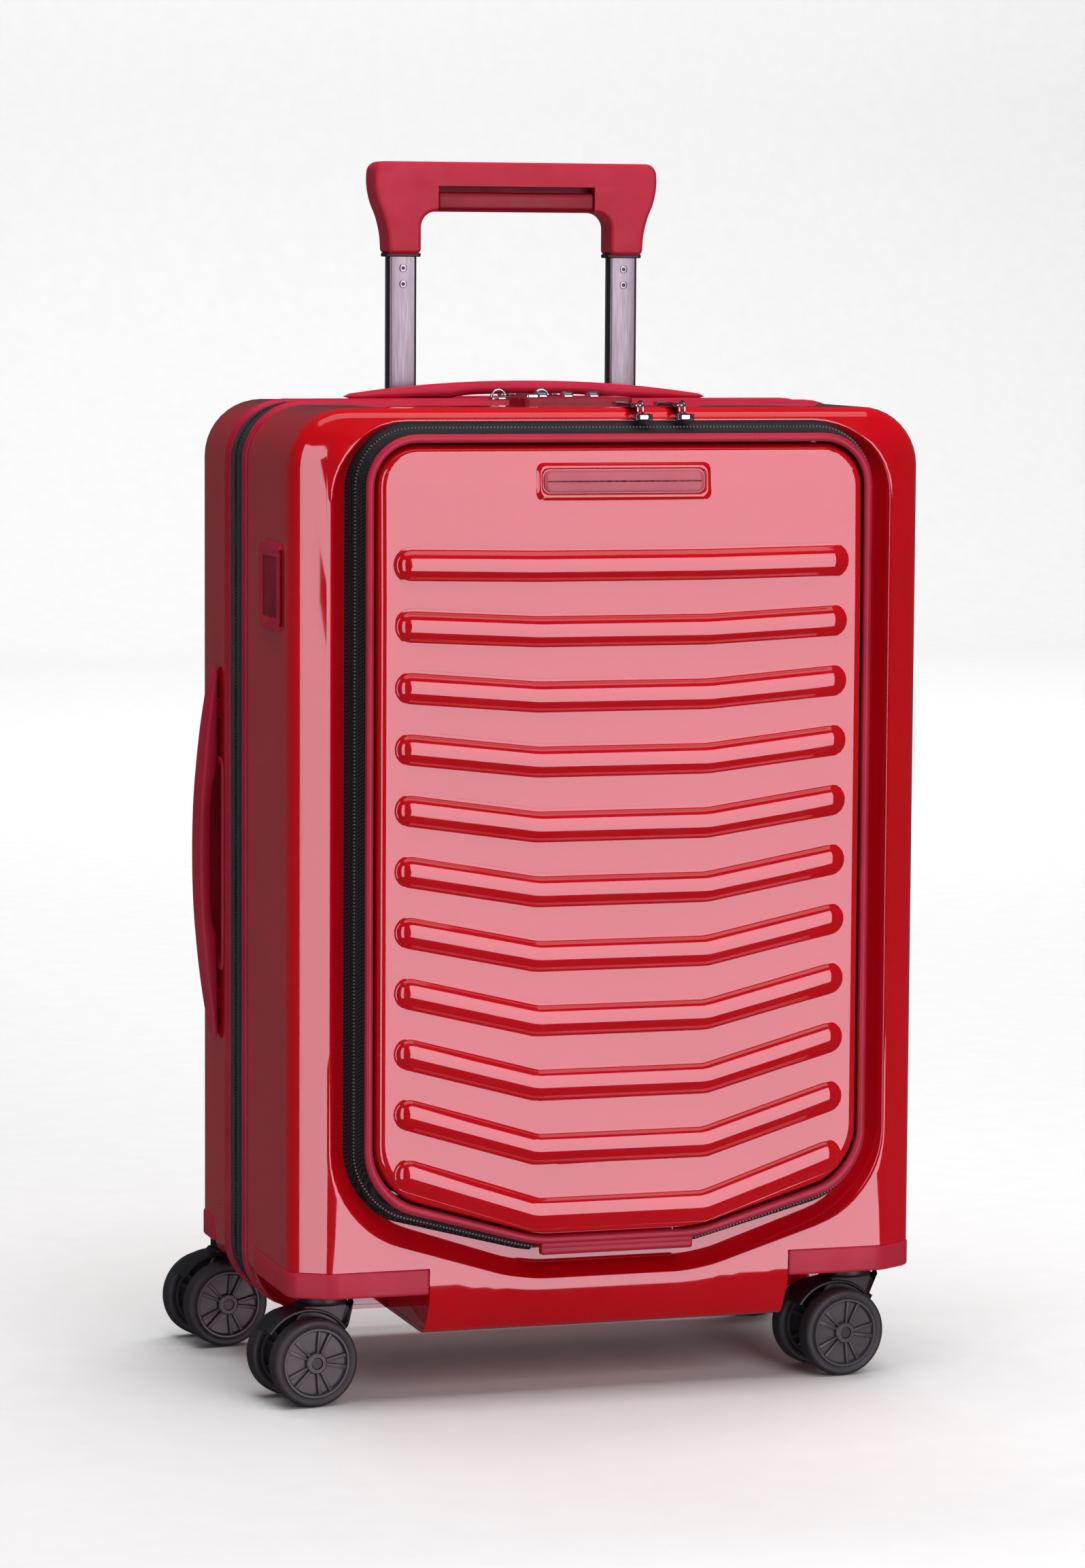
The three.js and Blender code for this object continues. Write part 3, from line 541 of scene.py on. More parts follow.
def front_door():
    profile = ((-3.2, 12), (-3.3, 9), (-3.5, 7.8), (-3.9, 6.6), (-4.6, 5.3), (-5.6, 4.3), (-6.9, 3.7), (-8.4, 3.5))
    rings = [[(p[0], y + door_slope(p[1]), p[1]) for p in door_outline(offset)] for offset, y in profile]
    made = mesh_object("front_door_panel", *loft(rings, (False, True)), RED)
    bm = bmesh.new()
    bm.from_mesh(made.data)
    for z in range(474, 516, 2):
        bmesh.ops.bisect_plane(bm, geom=bm.verts[:] + bm.edges[:] + bm.faces[:], dist=1e-7,
                               plane_co=world(0, 0, z), plane_no=(0, 0, 1))
    for vert in bm.verts:
        z = vert.co.z / MM
        y = (vert.co.y - ORIGIN.y) / MM
        if z > 470 and y < 3.5 + door_slope(z) + 0.4 and abs(vert.co.x - ORIGIN.x) / MM < 131:
            vert.co.y = ORIGIN.y + (3.5 + door_slope(z)) * MM
    bm.to_mesh(made.data)
    bm.free()
    add_modifier(made, "SOLIDIFY", thickness=2.2 * MM, offset=-1, use_even_offset=True)
    made.data.materials.append(LINING)
    made.modifiers[0].material_offset = 1
    finish_modifiers(made)
    shade(made, math.radians(40))
    place(made, "front_door", "gloss_shell", "front_door")
    ribs = [rib_part(456.9 - i * 32.6, 1.3 + 2.25 * i, 3.5, 4.2, -1) for i in range(11)]
    made = mesh_object("front_door_ribs", *merged(*ribs), RED, math.radians(60))
    place(made, "front_door", "gloss_shell")
    ribs = [rib_part(456.9 - i * 32.6, 0.01, BACK, 3.4, 1) for i in range(11)]
    made = mesh_object("rear_shell_ribs", *merged(*ribs), RED, math.radians(60))
    place(made, "rear_case", "gloss_shell")


def badge():
    def outline(inset):
        return rounded([
            (-47 + inset, 492.5 + inset, 4), (47 - inset, 492.5 + inset, 4),
            (47 - inset, 508.5 - inset, 4), (-47 + inset, 508.5 - inset, 4),
        ], 8, 4)

    def ring(inset, lift):
        return [(p[0], 3.5 + door_slope(p[1]) - lift, p[1]) for p in outline(inset)]

    frame_rings = [ring(i, h) for i, h in ((-2.2, -0.1), (-1.4, 0.25), (-0.5, 0.95), (0.3, 1.15), (1.0, 0.95),
                                           (1.4, 0.3), (1.6, -0.2))]
    made = mesh_object("badge_frame", *loft(frame_rings, closed=True), RED, math.radians(60))
    place(made, "front_door", "gloss_shell")
    plate = [ring(i, h) for i, h in ((2.1, -0.3), (2.1, 0.9), (2.4, 1.3), (3.2, 1.6), (4.4, 1.75))]
    made = mesh_object("badge_plain_plate", *loft(plate, (True, True)), BADGE, math.radians(50))
    place(made, "front_door", "badge", "badge_plate")


# ---- pipings, tapes and teeth ---------------------------------------------------------------------
def swept_ring(name, outline, profile, skin, body, slot, replaced=()):
    rings = [flat_ring(outline(inset), y) for inset, y in profile]
    made = mesh_object(name, *loft(rings, closed=True), skin, math.radians(60))
    if replaced:
        place(made, body, slot, *replaced)
    else:
        place(made, body, slot)
    return made


def main_zipper():
    bead = [(2.5, 0.2), (0.3, 0.25), (-0.8, 0.9), (-1.45, 2.2), (-1.6, 3.6), (-1.45, 5.0), (-0.8, 6.2), (0.15, 6.8),
            (0.05, 7.2), (-0.35, 7.6), (-0.3, 8.2), (0.3, 8.6), (2.5, 8.6)]
    front_start, rear_end = SPLIT - 23.7, SPLIT + 23.7
    swept_ring("front_shell_piping", case_outline, [(i, front_start + y) for i, y in bead], PIPING,
               "front_case", "matte_trim", ["front_piping"])
    swept_ring("rear_shell_piping", case_outline, [(i, rear_end - y) for i, y in bead], PIPING,
               "rear_case", "matte_trim", ["rear_piping"])
    tape = [(2.8, 14.8), (0.9, 14.6), (0.5, 11), (0.1, 7), (-0.1, 4), (-0.1, 2.6), (0.5, 2.2), (0.6, 0.2), (2.8, 0.2)]
    for name, side, body in (("front", -1, "front_case"), ("rear", 1, "rear_case")):
        swept_ring(f"{name}_zip_tape_cloth", case_outline, [(i, SPLIT + side * y) for i, y in tape], TAPE,
                   body, "zip_tape", [f"{name}_zip_tape"])
        made = mesh_object(f"{name}_zip_teeth", *teeth_along(case_outline(0.2), 1.9, SPLIT + side * 1.1, side), TEETH,
                           math.radians(30))
        place(made, body, "zip_tape")


def walk(outline, pitch):
    """Evenly spaced points and outward normals along a closed outline."""
    count = len(outline)
    spots, carry = [], 0.0
    for i in range(count):
        a, b = Vector(outline[i]), Vector(outline[(i + 1) % count])
        step = b - a
        length = step.length
        if length < 1e-6:
            continue
        along = step / length
        normal = Vector((along.y, -along.x))
        at = carry
        while at < length:
            spots.append((a + along * at, along, normal))
            at += pitch
        carry = at - length
    return spots


def teeth_along(outline, pitch, y, side, size=(0.62, 1.15, 0.75)):
    """Zip teeth: one small rounded block for each pitch."""
    parts = []
    for index, (spot, along, normal) in enumerate(walk(outline, pitch)):
        if side > 0:
            spot = spot + along * pitch / 2
        rings = []
        for lift, grow in ((-1, 1), (0.6, 1), (1, 0.55)):
            ring = []
            for a, b in ((-1, -1), (1, -1), (1, 1), (-1, 1)):
                place_at = spot + along * a * size[0] * grow + normal * (lift * size[2])
                ring.append((place_at.x, y + b * size[1] * grow, place_at.y))
            rings.append(ring)
        parts.append(loft(rings, (True, True)))
    return merged(*parts)


TAB_HALF = 42.0


def clear_tab(made):
    """Takes a ring away where the hinge tab is."""
    cut_box(made, (-TAB_HALF - 1.5, TAB_HALF + 1.5), (0, 60), (0, 94))


def pocket_zipper():
    bead = [(2.3 * math.cos(t), 7.6 - 2.3 * math.sin(t)) for t in (2 * math.pi * k / 14 for k in range(14))]
    swept_ring("door_piping_bead", door_outline, bead, PIPING, "front_door", "matte_trim", ["door_piping"])
    door_side = [(1.2, 9.4), (2.4, 10.2), (3.6, 12.6), (4.6, 15.4), (5.2, 17.9), (4.2, 17.9), (3.6, 15.6), (2.6, 13),
                 (1.2, 11)]
    frame_side = [(5.3, 18.3), (5.9, 20.5), (6.6, 23), (7.6, 25.4), (9.0, 26.7), (6.6, 26.7), (5.8, 24), (5.0, 21),
                  (4.4, 18.3)]
    for name, profile, body, replaced in (
        ("door_zip_tape_cloth", door_side, "front_door", "door_zip_tape"),
        ("frame_zip_tape_cloth", frame_side, "front_case", "frame_zip_tape"),
    ):
        made = swept_ring(name, door_outline, profile, TAPE, body, "zip_tape", [replaced])
        clear_tab(made)
        bm = bmesh.new()
        bm.from_mesh(made.data)
        bmesh.ops.holes_fill(bm, edges=[e for e in bm.edges if e.is_boundary])
        bmesh.ops.recalc_face_normals(bm, faces=bm.faces)
        bm.to_mesh(made.data)
        bm.free()
    spots = door_outline(5.4)
    points, faces = teeth_along(spots, 1.9, 18.1, 1, (0.55, 0.9, 0.7))
    made = mesh_object("pocket_zip_teeth", points, faces, TEETH, math.radians(30))
    clear_tab(made)
    place(made, "front_case", "zip_tape")


def hinge_tab():
    profile = [(8.2, 82.6), (7.2, 83.6), (6.9, 85), (7.2, 86.0), (7.0, 86.6), (6.6, 87.6), (6.7, 89.2), (7.6, 90.3),
               (9.2, 90.6), (11.6, 89.8), (12.3, 88), (12.3, 84), (11.4, 82.6)]
    rings = []
    for x, shrink in ((-TAB_HALF - 1, 0.9), (-TAB_HALF - 0.4, 0.98), (-TAB_HALF + 0.6, 1), (TAB_HALF - 0.6, 1),
                      (TAB_HALF + 0.4, 0.98), (TAB_HALF + 1, 0.9)):
        rings.append([(x, 9.6 + (y - 9.6) * shrink, 86.6 + (z - 86.6) * shrink) for y, z in profile])
    made = mesh_object("door_hinge_tab_moulding", *loft(rings, (True, True)), PIPING, math.radians(50))
    place(made, "front_door", "matte_trim", "door_hinge_tab")


front_shell()
rear_shell()
front_door()
badge()
main_zipper()
pocket_zipper()
hinge_tab()


# ---- solids drawn as outlines ---------------------------------------------------------------------
def inset_outline(outline, distance):
    """The outline moved inwards by a distance, corner by corner."""
    points = [Vector(p) for p in outline]
    count = len(points)
    area = sum(points[i - 1].cross(points[i]) for i in range(count))
    side = 1 if area > 0 else -1
    moved_points = []
    for i in range(count):
        before = (points[i] - points[i - 1]).normalized()
        after = (points[(i + 1) % count] - points[i]).normalized()
        first, second = Vector((before.y, -before.x)), Vector((after.y, -after.x))
        normal = (first + second).normalized() if (first + second).length > 1e-3 else first
        moved_points.append(points[i] - normal * (side * distance / max(0.5, normal.dot(first))))
    return moved_points


AXES = {
    "x": lambda a, b, t: (t, a, b),
    "y": lambda a, b, t: (a, t, b),
    "z": lambda a, b, t: (a, b, t),
}


def prism(outline, start, end, axis, bevel=0.8, steps=4):
    """An outline drawn out along an axis, with rounded rims at both ends."""
    clean = []
    for point in outline:
        if not clean or (Vector(point) - Vector(clean[-1])).length > 1e-3:
            clean.append(point)
    if (Vector(clean[0]) - Vector(clean[-1])).length < 1e-3:
        clean.pop()
    levels = []
    for k in range(steps + 1):
        angle = math.pi / 2 * k / steps
        levels.append((bevel * (1 - math.sin(angle)), bevel * (1 - math.cos(angle))))
    rings = [(inset, start + rise) for inset, rise in levels]
    rings += [(inset, end - rise) for inset, rise in reversed(levels)]
    place_at = AXES[axis]
    return loft([[place_at(p[0], p[1], t) for p in inset_outline(clean, inset)] for inset, t in rings], (True, True))


def rectangle(a0, b0, a1, b1, radius, steps=6, edge=2):
    return rounded([(a0, b0, radius), (a1, b0, radius), (a1, b1, radius), (a0, b1, radius)], steps, edge)


def lathe(profile, steps=48):
    """A closed profile of (radius, along) turned about the local Y axis."""
    rings = []
    for k in range(steps):
        angle = 2 * math.pi * k / steps
        rings.append([(r * math.cos(angle), h, r * math.sin(angle)) for r, h in profile])
    return loft(rings, closed=True)


def moved(part, origin, turn=0.0):
    """A part turned about Z and moved to an origin."""
    points, faces = part
    matrix = Matrix.Translation(Vector(origin)) @ Matrix.Rotation(turn, 4, "Z")
    return [tuple(matrix @ Vector(p)) for p in points], faces


def carve(made, x, y, z):
    """Cuts a box out of a closed solid."""
    corners = [tuple((x, y, z)[i][(n >> i) & 1] for i in range(3)) for n in range(8)]
    faces = [(0, 1, 3, 2), (4, 6, 7, 5), (0, 4, 5, 1), (2, 3, 7, 6), (0, 2, 6, 4), (1, 5, 7, 3)]
    cutter = mesh_object("cutter", corners, faces, RED)
    add_modifier(made, "BOOLEAN", operation="DIFFERENCE", object=cutter, solver="EXACT")
    finish_modifiers(made)
    bpy.data.objects.remove(cutter, do_unlink=True)
    shade(made, math.radians(35))


# ---- carry handles, scoops and well ----------------------------------------------------------------
def carry_handle(length, half_width, rise, gap):
    """A low bow: along s, out from the case h, across w."""
    rings = []
    stations = 48
    for k in range(stations + 1):
        t = -1 + 2 * k / stations
        t = math.copysign(abs(t) ** 0.85, t)
        arch = 1 - abs(t) ** 2.1
        top = 3.2 + (rise - 3.2) * arch
        open_part = max(0.0, 1 - (abs(t) / 0.42) ** 4)
        bottom = 0.9 + gap * math.sqrt(open_part)
        end = math.sqrt(max(0.02, 1 - max(0.0, (abs(t) - 0.965) / 0.035) ** 2))
        middle, half = (top + bottom) / 2, (top - bottom) / 2 * end
        wide = half_width * (1 - 0.18 * abs(t) ** 3) * (0.4 + 0.6 * end)
        ring = []
        for j in range(24):
            angle = 2 * math.pi * j / 24
            c, s = math.cos(angle), math.sin(angle)
            ring.append((t * length / 2, math.copysign(abs(c) ** 0.62, c) * wide,
                         middle + math.copysign(abs(s) ** 0.62, s) * half))
        rings.append(ring)
    return loft(rings, (True, True))


def turned(part, place_point):
    points, faces = part
    return [place_point(*p) for p in points], faces


def handles():
    low, high = span("top_handle")
    middle_y = (low[1] + high[1]) / 2
    bow = turned(carry_handle(high[0] - low[0], 9, 11, 2.6), lambda s, w, h: (s, middle_y + w, TOP + h))
    legs = [box_part((side * 88 - 6, side * 88 + 6), (182.5, 190.5), (TOP - 18, TOP + 2.5), 0.8) for side in (-1, 1)]
    made = mesh_object("top_handle_bow", *merged(bow, *legs), SATIN, math.radians(50))
    place(made, "top_handle", "matte_trim", "top_handle")
    low, high = span("side_handle")
    middle_y, middle_z = (low[1] + high[1]) / 2, (low[2] + high[2]) / 2
    bow = turned(carry_handle(high[2] - low[2], 9, 13.6, 3.6),
                 lambda s, w, h: (-HALF - h, middle_y + w, middle_z + s))
    legs = [box_part((-HALF - 2.5, -HALF + 18), (188, 196), (z - 6, z + 6), 0.8) for z in (203, 367)]
    made = mesh_object("side_handle_bow", *merged(bow, *legs), SATIN, math.radians(50))
    place(made, "side_handle", "matte_trim", "side_handle")


def tub(low, high, floor, top, place_point, radius=4):
    """A thin moulded tub: rim, drawn-in wall, filleted floor."""
    def outline(inset):
        return rectangle(low[0] + inset, low[1] + inset, high[0] - inset, high[1] - inset, max(radius - inset * 0.3, 1),
                         6, 6)

    depth = top - floor
    steps = [(-1.6, 0.15), (-1.3, 0.7), (-0.6, 0.9), (0.5, 0.8), (1.1, 0.2), (1.3, -1), (1.9, -depth * 0.5),
             (2.3, -depth + 3.5), (2.9, -depth + 1.6), (4.2, -depth + 0.4), (6, -depth)]
    rings = [[place_point(p[0], p[1], top + rise) for p in outline(inset)] for inset, rise in steps]
    return loft(rings, (False, True))


def thin(made, thickness):
    add_modifier(made, "SOLIDIFY", thickness=thickness * MM, offset=0, use_even_offset=True)
    finish_modifiers(made)
    shade(made, math.radians(45))


def tubs():
    up = AXES["z"]
    (x0, x1), (y0, y1) = TOP_SCOOP_BOX
    made = mesh_object("top_scoop_tub", *tub((x0, y0), (x1, y1), 521, TOP, up), SATIN)
    thin(made, 1.0)
    place(made, "rear_case", "matte_trim", "top_handle_scoop")
    (y0, y1), (z0, z1) = SIDE_SCOOP_BOX
    made = mesh_object("side_scoop_tub", *tub((y0, z0), (y1, z1), 159, HALF, lambda a, b, t: (-t, a, b)), SATIN)
    thin(made, 1.0)
    place(made, "rear_case", "matte_trim", "side_handle_scoop")
    (x0, x1), (y0, y1) = WELL_BOX
    floor = span("grip_well")[0][2] + 1
    made = mesh_object("grip_well_tub", *tub((x0, y0), (x1, y1), floor, TOP, up), SATIN)
    for side in (-1, 1):
        cut_box(made, (side * 65.6 - 10.8, side * 65.6 + 10.8), (207.4, 222.6), (floor - 3, floor + 3))
    thin(made, 1.0)
    place(made, "rear_case", "matte_trim", "grip_well")


# ---- telescopic handle ------------------------------------------------------------------------------
def tubes():
    for name, body in (("outer", "rear_case"), ("middle", "middle_stage"), ("inner", "grip_stage")):
        for side in ("left", "right"):
            low, high = span(f"{name}_tube_{side}")

            def section(inset):
                middle = (low[1] + high[1]) / 2
                groove = 1.7 + inset * 0.2
                x0, x1, y0, y1 = low[0] + inset, high[0] - inset, low[1] + inset, high[1] - inset
                corners = [(x0, y0, 1.8), (x1, y0, 1.8), (x1, middle - groove, 0.3), (x1 - 0.7, middle - groove, 0.2),
                           (x1 - 0.7, middle + groove, 0.2), (x1, middle + groove, 0.3), (x1, y1, 1.8), (x0, y1, 1.8),
                           (x0, middle + groove, 0.3), (x0 + 0.7, middle + groove, 0.2),
                           (x0 + 0.7, middle - groove, 0.2), (x0, middle - groove, 0.3)]
                return rounded(corners, 4, 2)

            rings = [[(p[0], p[1], z) for p in section(inset)] for inset, z in (
                (0.3, low[2]), (0, low[2] + 0.3), (0, high[2] - 0.3), (0.3, high[2]), (1.5, high[2]), (1.5, low[2]))]
            made = mesh_object(f"{name}_tube_{side}_extrusion", *loft(rings, closed=True), GUNMETAL, math.radians(30))
            place(made, body, "gunmetal_tube", f"{name}_tube_{side}")
            strips = []
            middle = (low[1] + high[1]) / 2
            for x in (low[0] + 0.15, high[0] - 0.75):
                strips.append(box_part((x, x + 0.6), (middle - 1.5, middle + 1.5), (low[2] + 1, high[2] - 1), 0.2, 2))
            made = mesh_object(f"{name}_tube_{side}_guide", *merged(*strips), BLACK)
            place(made, body, "black_plastic")


def screws():
    low = span("inner_tube_left")[0]
    base = span("grip")[0][2]
    parts, sockets = [], []
    for x in (-65.6, 65.6):
        for z in (base - 8, base - 17):
            head = [(0, -0.1), (1.2, -0.1), (1.2, -0.38), (1.8, -0.38), (2.15, -0.25), (2.3, 0.05), (2.3, 0.4), (0, 0.4)]
            parts.append(moved(lathe(head, 24), (x, low[1], z)))
            star = []
            for k in range(24):
                angle = 2 * math.pi * k / 24
                radius = 1.12 + 0.16 * math.cos(6 * angle)
                star.append((x + radius * math.cos(angle), z + radius * math.sin(angle)))
            sockets.append(prism(star, low[1] - 0.16, low[1] - 0.02, "y", 0.03, 1))
    made = mesh_object("post_screws", *merged(*parts), STEEL)
    place(made, "grip_stage", "chrome_fittings")
    made = mesh_object("post_screw_sockets", *merged(*sockets), BLACK)
    place(made, "grip_stage", "black_plastic")


def grip():
    low, high = span("grip")
    base, top, middle = low[2], high[2], (low[1] + high[1]) / 2
    outline = rounded([
        (-83.4, top, 6), (-84.4, 655, 9), (-76.4, 638, 9), (-75.4, base, 3),
        (-56.2, base, 3), (-56.2, 645, 9), (56.2, 645, 9), (56.2, base, 3),
        (75.4, base, 3), (76.4, 638, 9), (84.4, 655, 9), (83.4, top, 6),
    ], 10, 4)
    made = mesh_object("grip_moulding", *prism(outline, low[1], high[1], "y", 2.4, 5), SATIN, math.radians(50))
    bar_low, bar_high = span("release_bar")
    carve(made, (bar_low[0] - 0.4, bar_high[0] + 0.4), (low[1] - 5, bar_high[1] + 0.4),
          (bar_low[2] - 6, bar_high[2] + 3.4))
    place(made, "grip_stage", "matte_trim", "grip")
    profile = rectangle(low[1] + 0.8, bar_low[2] - 0.6, bar_high[1], bar_high[2], 3)
    made = mesh_object("release_bar_moulding", *prism(profile, bar_low[0], bar_high[0], "x", 1.2), LOCK_RED,
                       math.radians(50))
    place(made, "release_bar", "matte_trim", "release_bar")
    collars = []
    for x in (-65.6, 65.6):
        outer = rectangle(x - 10.4, middle - 7, x + 10.4, middle + 7, 2.5)
        collars.append(prism(outer, base - 1.6, base + 0.6, "z", 0.6, 3))
    made = mesh_object("grip_collars", *merged(*collars), BLACK, math.radians(50))
    place(made, "grip_stage", "black_plastic")


# ---- brackets, forks and wheels ------------------------------------------------------------------
JOINTS = {joint["name"]: joint for joint in frame["record"]["behaviour"]["joints"]}
CASTER_TURN = math.radians(8)


def joint_place(name):
    return [(JOINTS[name]["pos_m"][i] - ORIGIN[i]) / MM for i in range(3)]


def brackets():
    for end in ("front", "rear"):
        for side, sign in (("left", -1), ("right", 1)):
            low, high = span(f"corner_bracket_{end}_{side}")
            x, y, _ = joint_place(f"caster_{end}_{side}_swivel")
            inner, outer, proud = BRACKET_INNER + 0.3, HALF, 0.7
            if end == "front":
                corners = [(inner, FRONT - proud, 1.5), (HALF - FACET_WIDTH - 0.4, FRONT - proud, 5),
                           (outer + proud, FRONT + FACET_DEPTH - 0.4, 6), (outer + proud, 105.7, 1.5),
                           (inner, 105.7, 1.5)]
            else:
                corners = [(inner, 200.4, 1.5), (outer + proud, 200.4, 1.5), (outer + proud, BACK + proud, 20),
                           (inner, BACK + proud, 1.5)]
            outline = [(sign * p[0], p[1]) for p in rounded(corners, 10, 3)]
            plate = prism(outline, 62, high[2] + 0.4, "z", 1.6, 4)
            boss = [(0, -3.4), (12.6, -3.4), (13.6, -2.9), (14, -1.8), (14, 0.5), (15.2, 1.4), (0, 1.4)]
            turned_boss = turned(lathe(boss, 40), lambda a, b, c: (x + a, y + c, 62 + b))
            made = mesh_object(f"{end}_{side}_corner_cap", *merged(plate, turned_boss), SATIN, math.radians(40))
            place(made, f"{end}_case", "matte_trim", f"corner_bracket_{end}_{side}")


def wheel_arches():
    """The walls that close the shells round the notches for the casters."""
    base, wall = BOTTOM + WALL, 1.2
    for side, sign in (("left", -1), ("right", 1)):
        inner = sorted((sign * (BRACKET_INNER - wall), sign * BRACKET_INNER))

        def cross_wall(y, bottom, top):
            corners = [(101.3, bottom, 0.4), (HALF - WALL, bottom, 28 if bottom < 45 else 1),
                       (HALF - WALL, top, 0.4), (101.3, top, 0.4)]
            return prism([(sign * p[0], p[1]) for p in rounded(corners, 10, 4)], y, y + wall, "y", 0.2, 1)

        long_wall = rounded([(31.5, base, 0.5), (106, base, 0.5), (106, BRACKET_TOP, 0.5), (20.8, BRACKET_TOP, 0.5),
                             (20.8, 60, 1)], 3, 2)
        parts = [prism(long_wall, *inner, "x", 0.2, 1), cross_wall(106, base, BRACKET_TOP)]
        made = mesh_object(f"front_{side}_wheel_arch", *merged(*parts), RED)
        place(made, "front_case", "gloss_shell")
        long_wall = rounded([(181, base, 0.5), (BACK - WALL, base, 17), (BACK - WALL, BRACKET_TOP, 0.5),
                             (181, BRACKET_TOP, 0.5)], 8, 2)
        shelf_x = sorted((sign * BRACKET_INNER, sign * (HALF - WALL)))
        parts = [prism(long_wall, *inner, "x", 0.2, 1), cross_wall(181 - wall, base, 58 + wall),
                 cross_wall(200 - wall, 58, BRACKET_TOP),
                 box_part(shelf_x, (180, 200), (58, 58 + wall), 0.2, 1)]
        made = mesh_object(f"rear_{side}_wheel_arch", *merged(*parts), RED)
        place(made, "rear_case", "gloss_shell")


def fork(x, y):
    trail, radius = 12, 24.3
    cap = [(0, 53), (12.2, 53), (13.2, 53.8), (13.5, 55), (13.5, 58), (13.1, 58.7), (12.4, 59), (0, 59)]
    parts = [turned(lathe(cap, 40), lambda a, b, c: (a, c, b))]
    web = rounded([
        (-trail - 9, radius - 7, 7), (-trail + 7, radius - 8, 7), (4, radius + 8, 14), (12.6, 46, 8), (13, 54, 1),
        (-13, 54, 1), (-20, 47, 8),
    ], 8, 3)
    parts.append(prism(web, -8.3, 8.3, "y", 2.2, 5))
    rings = []
    for k in range(25):
        angle = math.radians(35 + 110 * k / 24)
        ring = []
        for r, w in ((25.5, -8.5), (25.5, 8.5), (26.3, 9.4), (27.2, 9.2), (27.8, 8), (27.8, -8), (27.2, -9.2),
                     (26.3, -9.4)):
            ring.append((-trail + r * math.cos(angle), w, radius + r * math.sin(angle)))
        rings.append(ring)
    parts.append(loft(rings, (True, True)))
    axle = [(0, -21.6), (2.9, -21.6), (2.9, 21.6), (0, 21.6)]
    parts.append(moved(lathe(axle, 24), (-trail, 0, radius)))
    return moved(merged(*parts), (x, y, 0), CASTER_TURN)


def wheel_parts():
    tyre = [(19.2, -4.8), (20.4, -5.6), (21.8, -6.0), (22.9, -5.7), (23.8, -4.7), (24.25, -3.2), (24.3, -1.2),
            (24.3, 1.2), (24.25, 3.2), (23.8, 4.7), (22.9, 5.7), (21.8, 6.0), (20.4, 5.6), (19.2, 4.8)]
    disc = [(3.3, -3.2), (16.9, -3.2), (17.3, -3.6), (17.5, -5.3), (17.9, -5.8), (18.9, -5.8), (19.4, -5.2),
            (19.5, -4.4), (19.5, 4.4), (19.4, 5.2), (18.9, 5.8), (17.9, 5.8), (17.5, 5.3), (17.3, 3.6), (16.9, 3.2),
            (3.3, 3.2)]
    cap = [(3.3, -3.2), (6.0, -3.6), (5.9, -5.4), (5.3, -5.95), (3.3, -6.0), (3.3, 6.0), (5.3, 5.95), (5.9, 5.4),
           (6.0, 3.6), (3.3, 3.2)]
    spokes = []
    for group in range(5):
        for lean in (-1, 1):
            angle = 2 * math.pi * group / 5 + lean * math.radians(11)
            along = Vector((math.cos(angle), math.sin(angle)))
            across = Vector((-along.y, along.x))
            corners = []
            for r, w in ((5.4, -0.7), (17.4, -1.2), (17.4, 1.2), (5.4, 0.7)):
                corners.append(tuple(along * r + across * w))
            spokes.append(prism(corners, -5.2, 5.2, "y", 0.5, 2))
    return lathe(tyre, 64), merged(lathe(disc, 64), lathe(cap, 40), *spokes)


def casters():
    tyre, hub = wheel_parts()
    for end in ("front", "rear"):
        for side in ("left", "right"):
            where = f"{end}_{side}"
            x, y, _ = joint_place(f"caster_{where}_swivel")
            made = mesh_object(f"{where}_fork_moulding", *fork(x, y), BLACK, math.radians(40))
            place(made, f"caster_{where}", "black_plastic", f"caster_fork_{where}")
            for rank in ("outer", "inner"):
                name = f"wheel_{where}_{rank}"
                centre = joint_place(f"{name}_spin")
                made = mesh_object(f"{name}_tyre", *moved(tyre, centre, CASTER_TURN), TYRE, math.radians(50))
                place(made, name, "wheel_tyre", name)
                made = mesh_object(f"{name}_hub", *moved(hub, centre, CASTER_TURN), HUB, math.radians(35))
                place(made, name, "black_plastic")


# ---- lock, sliders and pulls ------------------------------------------------------------------------
def lock():
    low, high = span("lock_housing")
    outline = rectangle(low[0], low[1], high[0], high[1], 3.5, 8, 4)
    made = mesh_object("lock_housing_moulding", *prism(outline, low[2], high[2], "z", 1.4, 4), LOCK_RED,
                       math.radians(40))
    for index in (1, 2, 3):
        dial_low, dial_high = span(f"lock_dial_{index}")
        carve(made, (dial_low[0] - 0.35, dial_high[0] + 0.35), (dial_low[1] - 0.5, dial_high[1] + 0.5),
              (dial_low[2] - 0.5, high[2] + 5))
        middle = [(a + b) / 2 for a, b in zip(dial_low, dial_high)]
        radius = (dial_high[2] - dial_low[2]) / 2
        knurl = []
        for k in range(120):
            angle = 2 * math.pi * k / 120
            depth = 0.28 * max(0.0, math.cos(20 * angle)) ** 2
            knurl.append((middle[1] + (radius - depth) * math.cos(angle), middle[2] + (radius - depth) * math.sin(angle)))
        dial = prism(knurl, dial_low[0], dial_high[0], "x", 0.7, 3)
        made_dial = mesh_object(f"lock_dial_{index}_knurled", *dial, CHROME, math.radians(30))
        place(made_dial, f"lock_dial_{index}", "chrome_fittings", f"lock_dial_{index}")
    button_low, button_high = span("lock_button")
    carve(made, (button_low[0] - 0.35, button_high[0] + 0.35), (button_low[1] - 0.35, button_high[1] + 0.35),
          (button_low[2] - 1.5, high[2] + 5))
    place(made, "front_case", "matte_trim", "lock_housing")
    outline = rectangle(button_low[0], button_low[1], button_high[0], button_high[1], 2, 6, 3)
    made = mesh_object("lock_button_moulding", *prism(outline, button_low[2], button_high[2], "z", 0.8, 4), CHROME,
                       math.radians(50))
    place(made, "lock_button", "chrome_fittings", "lock_button")


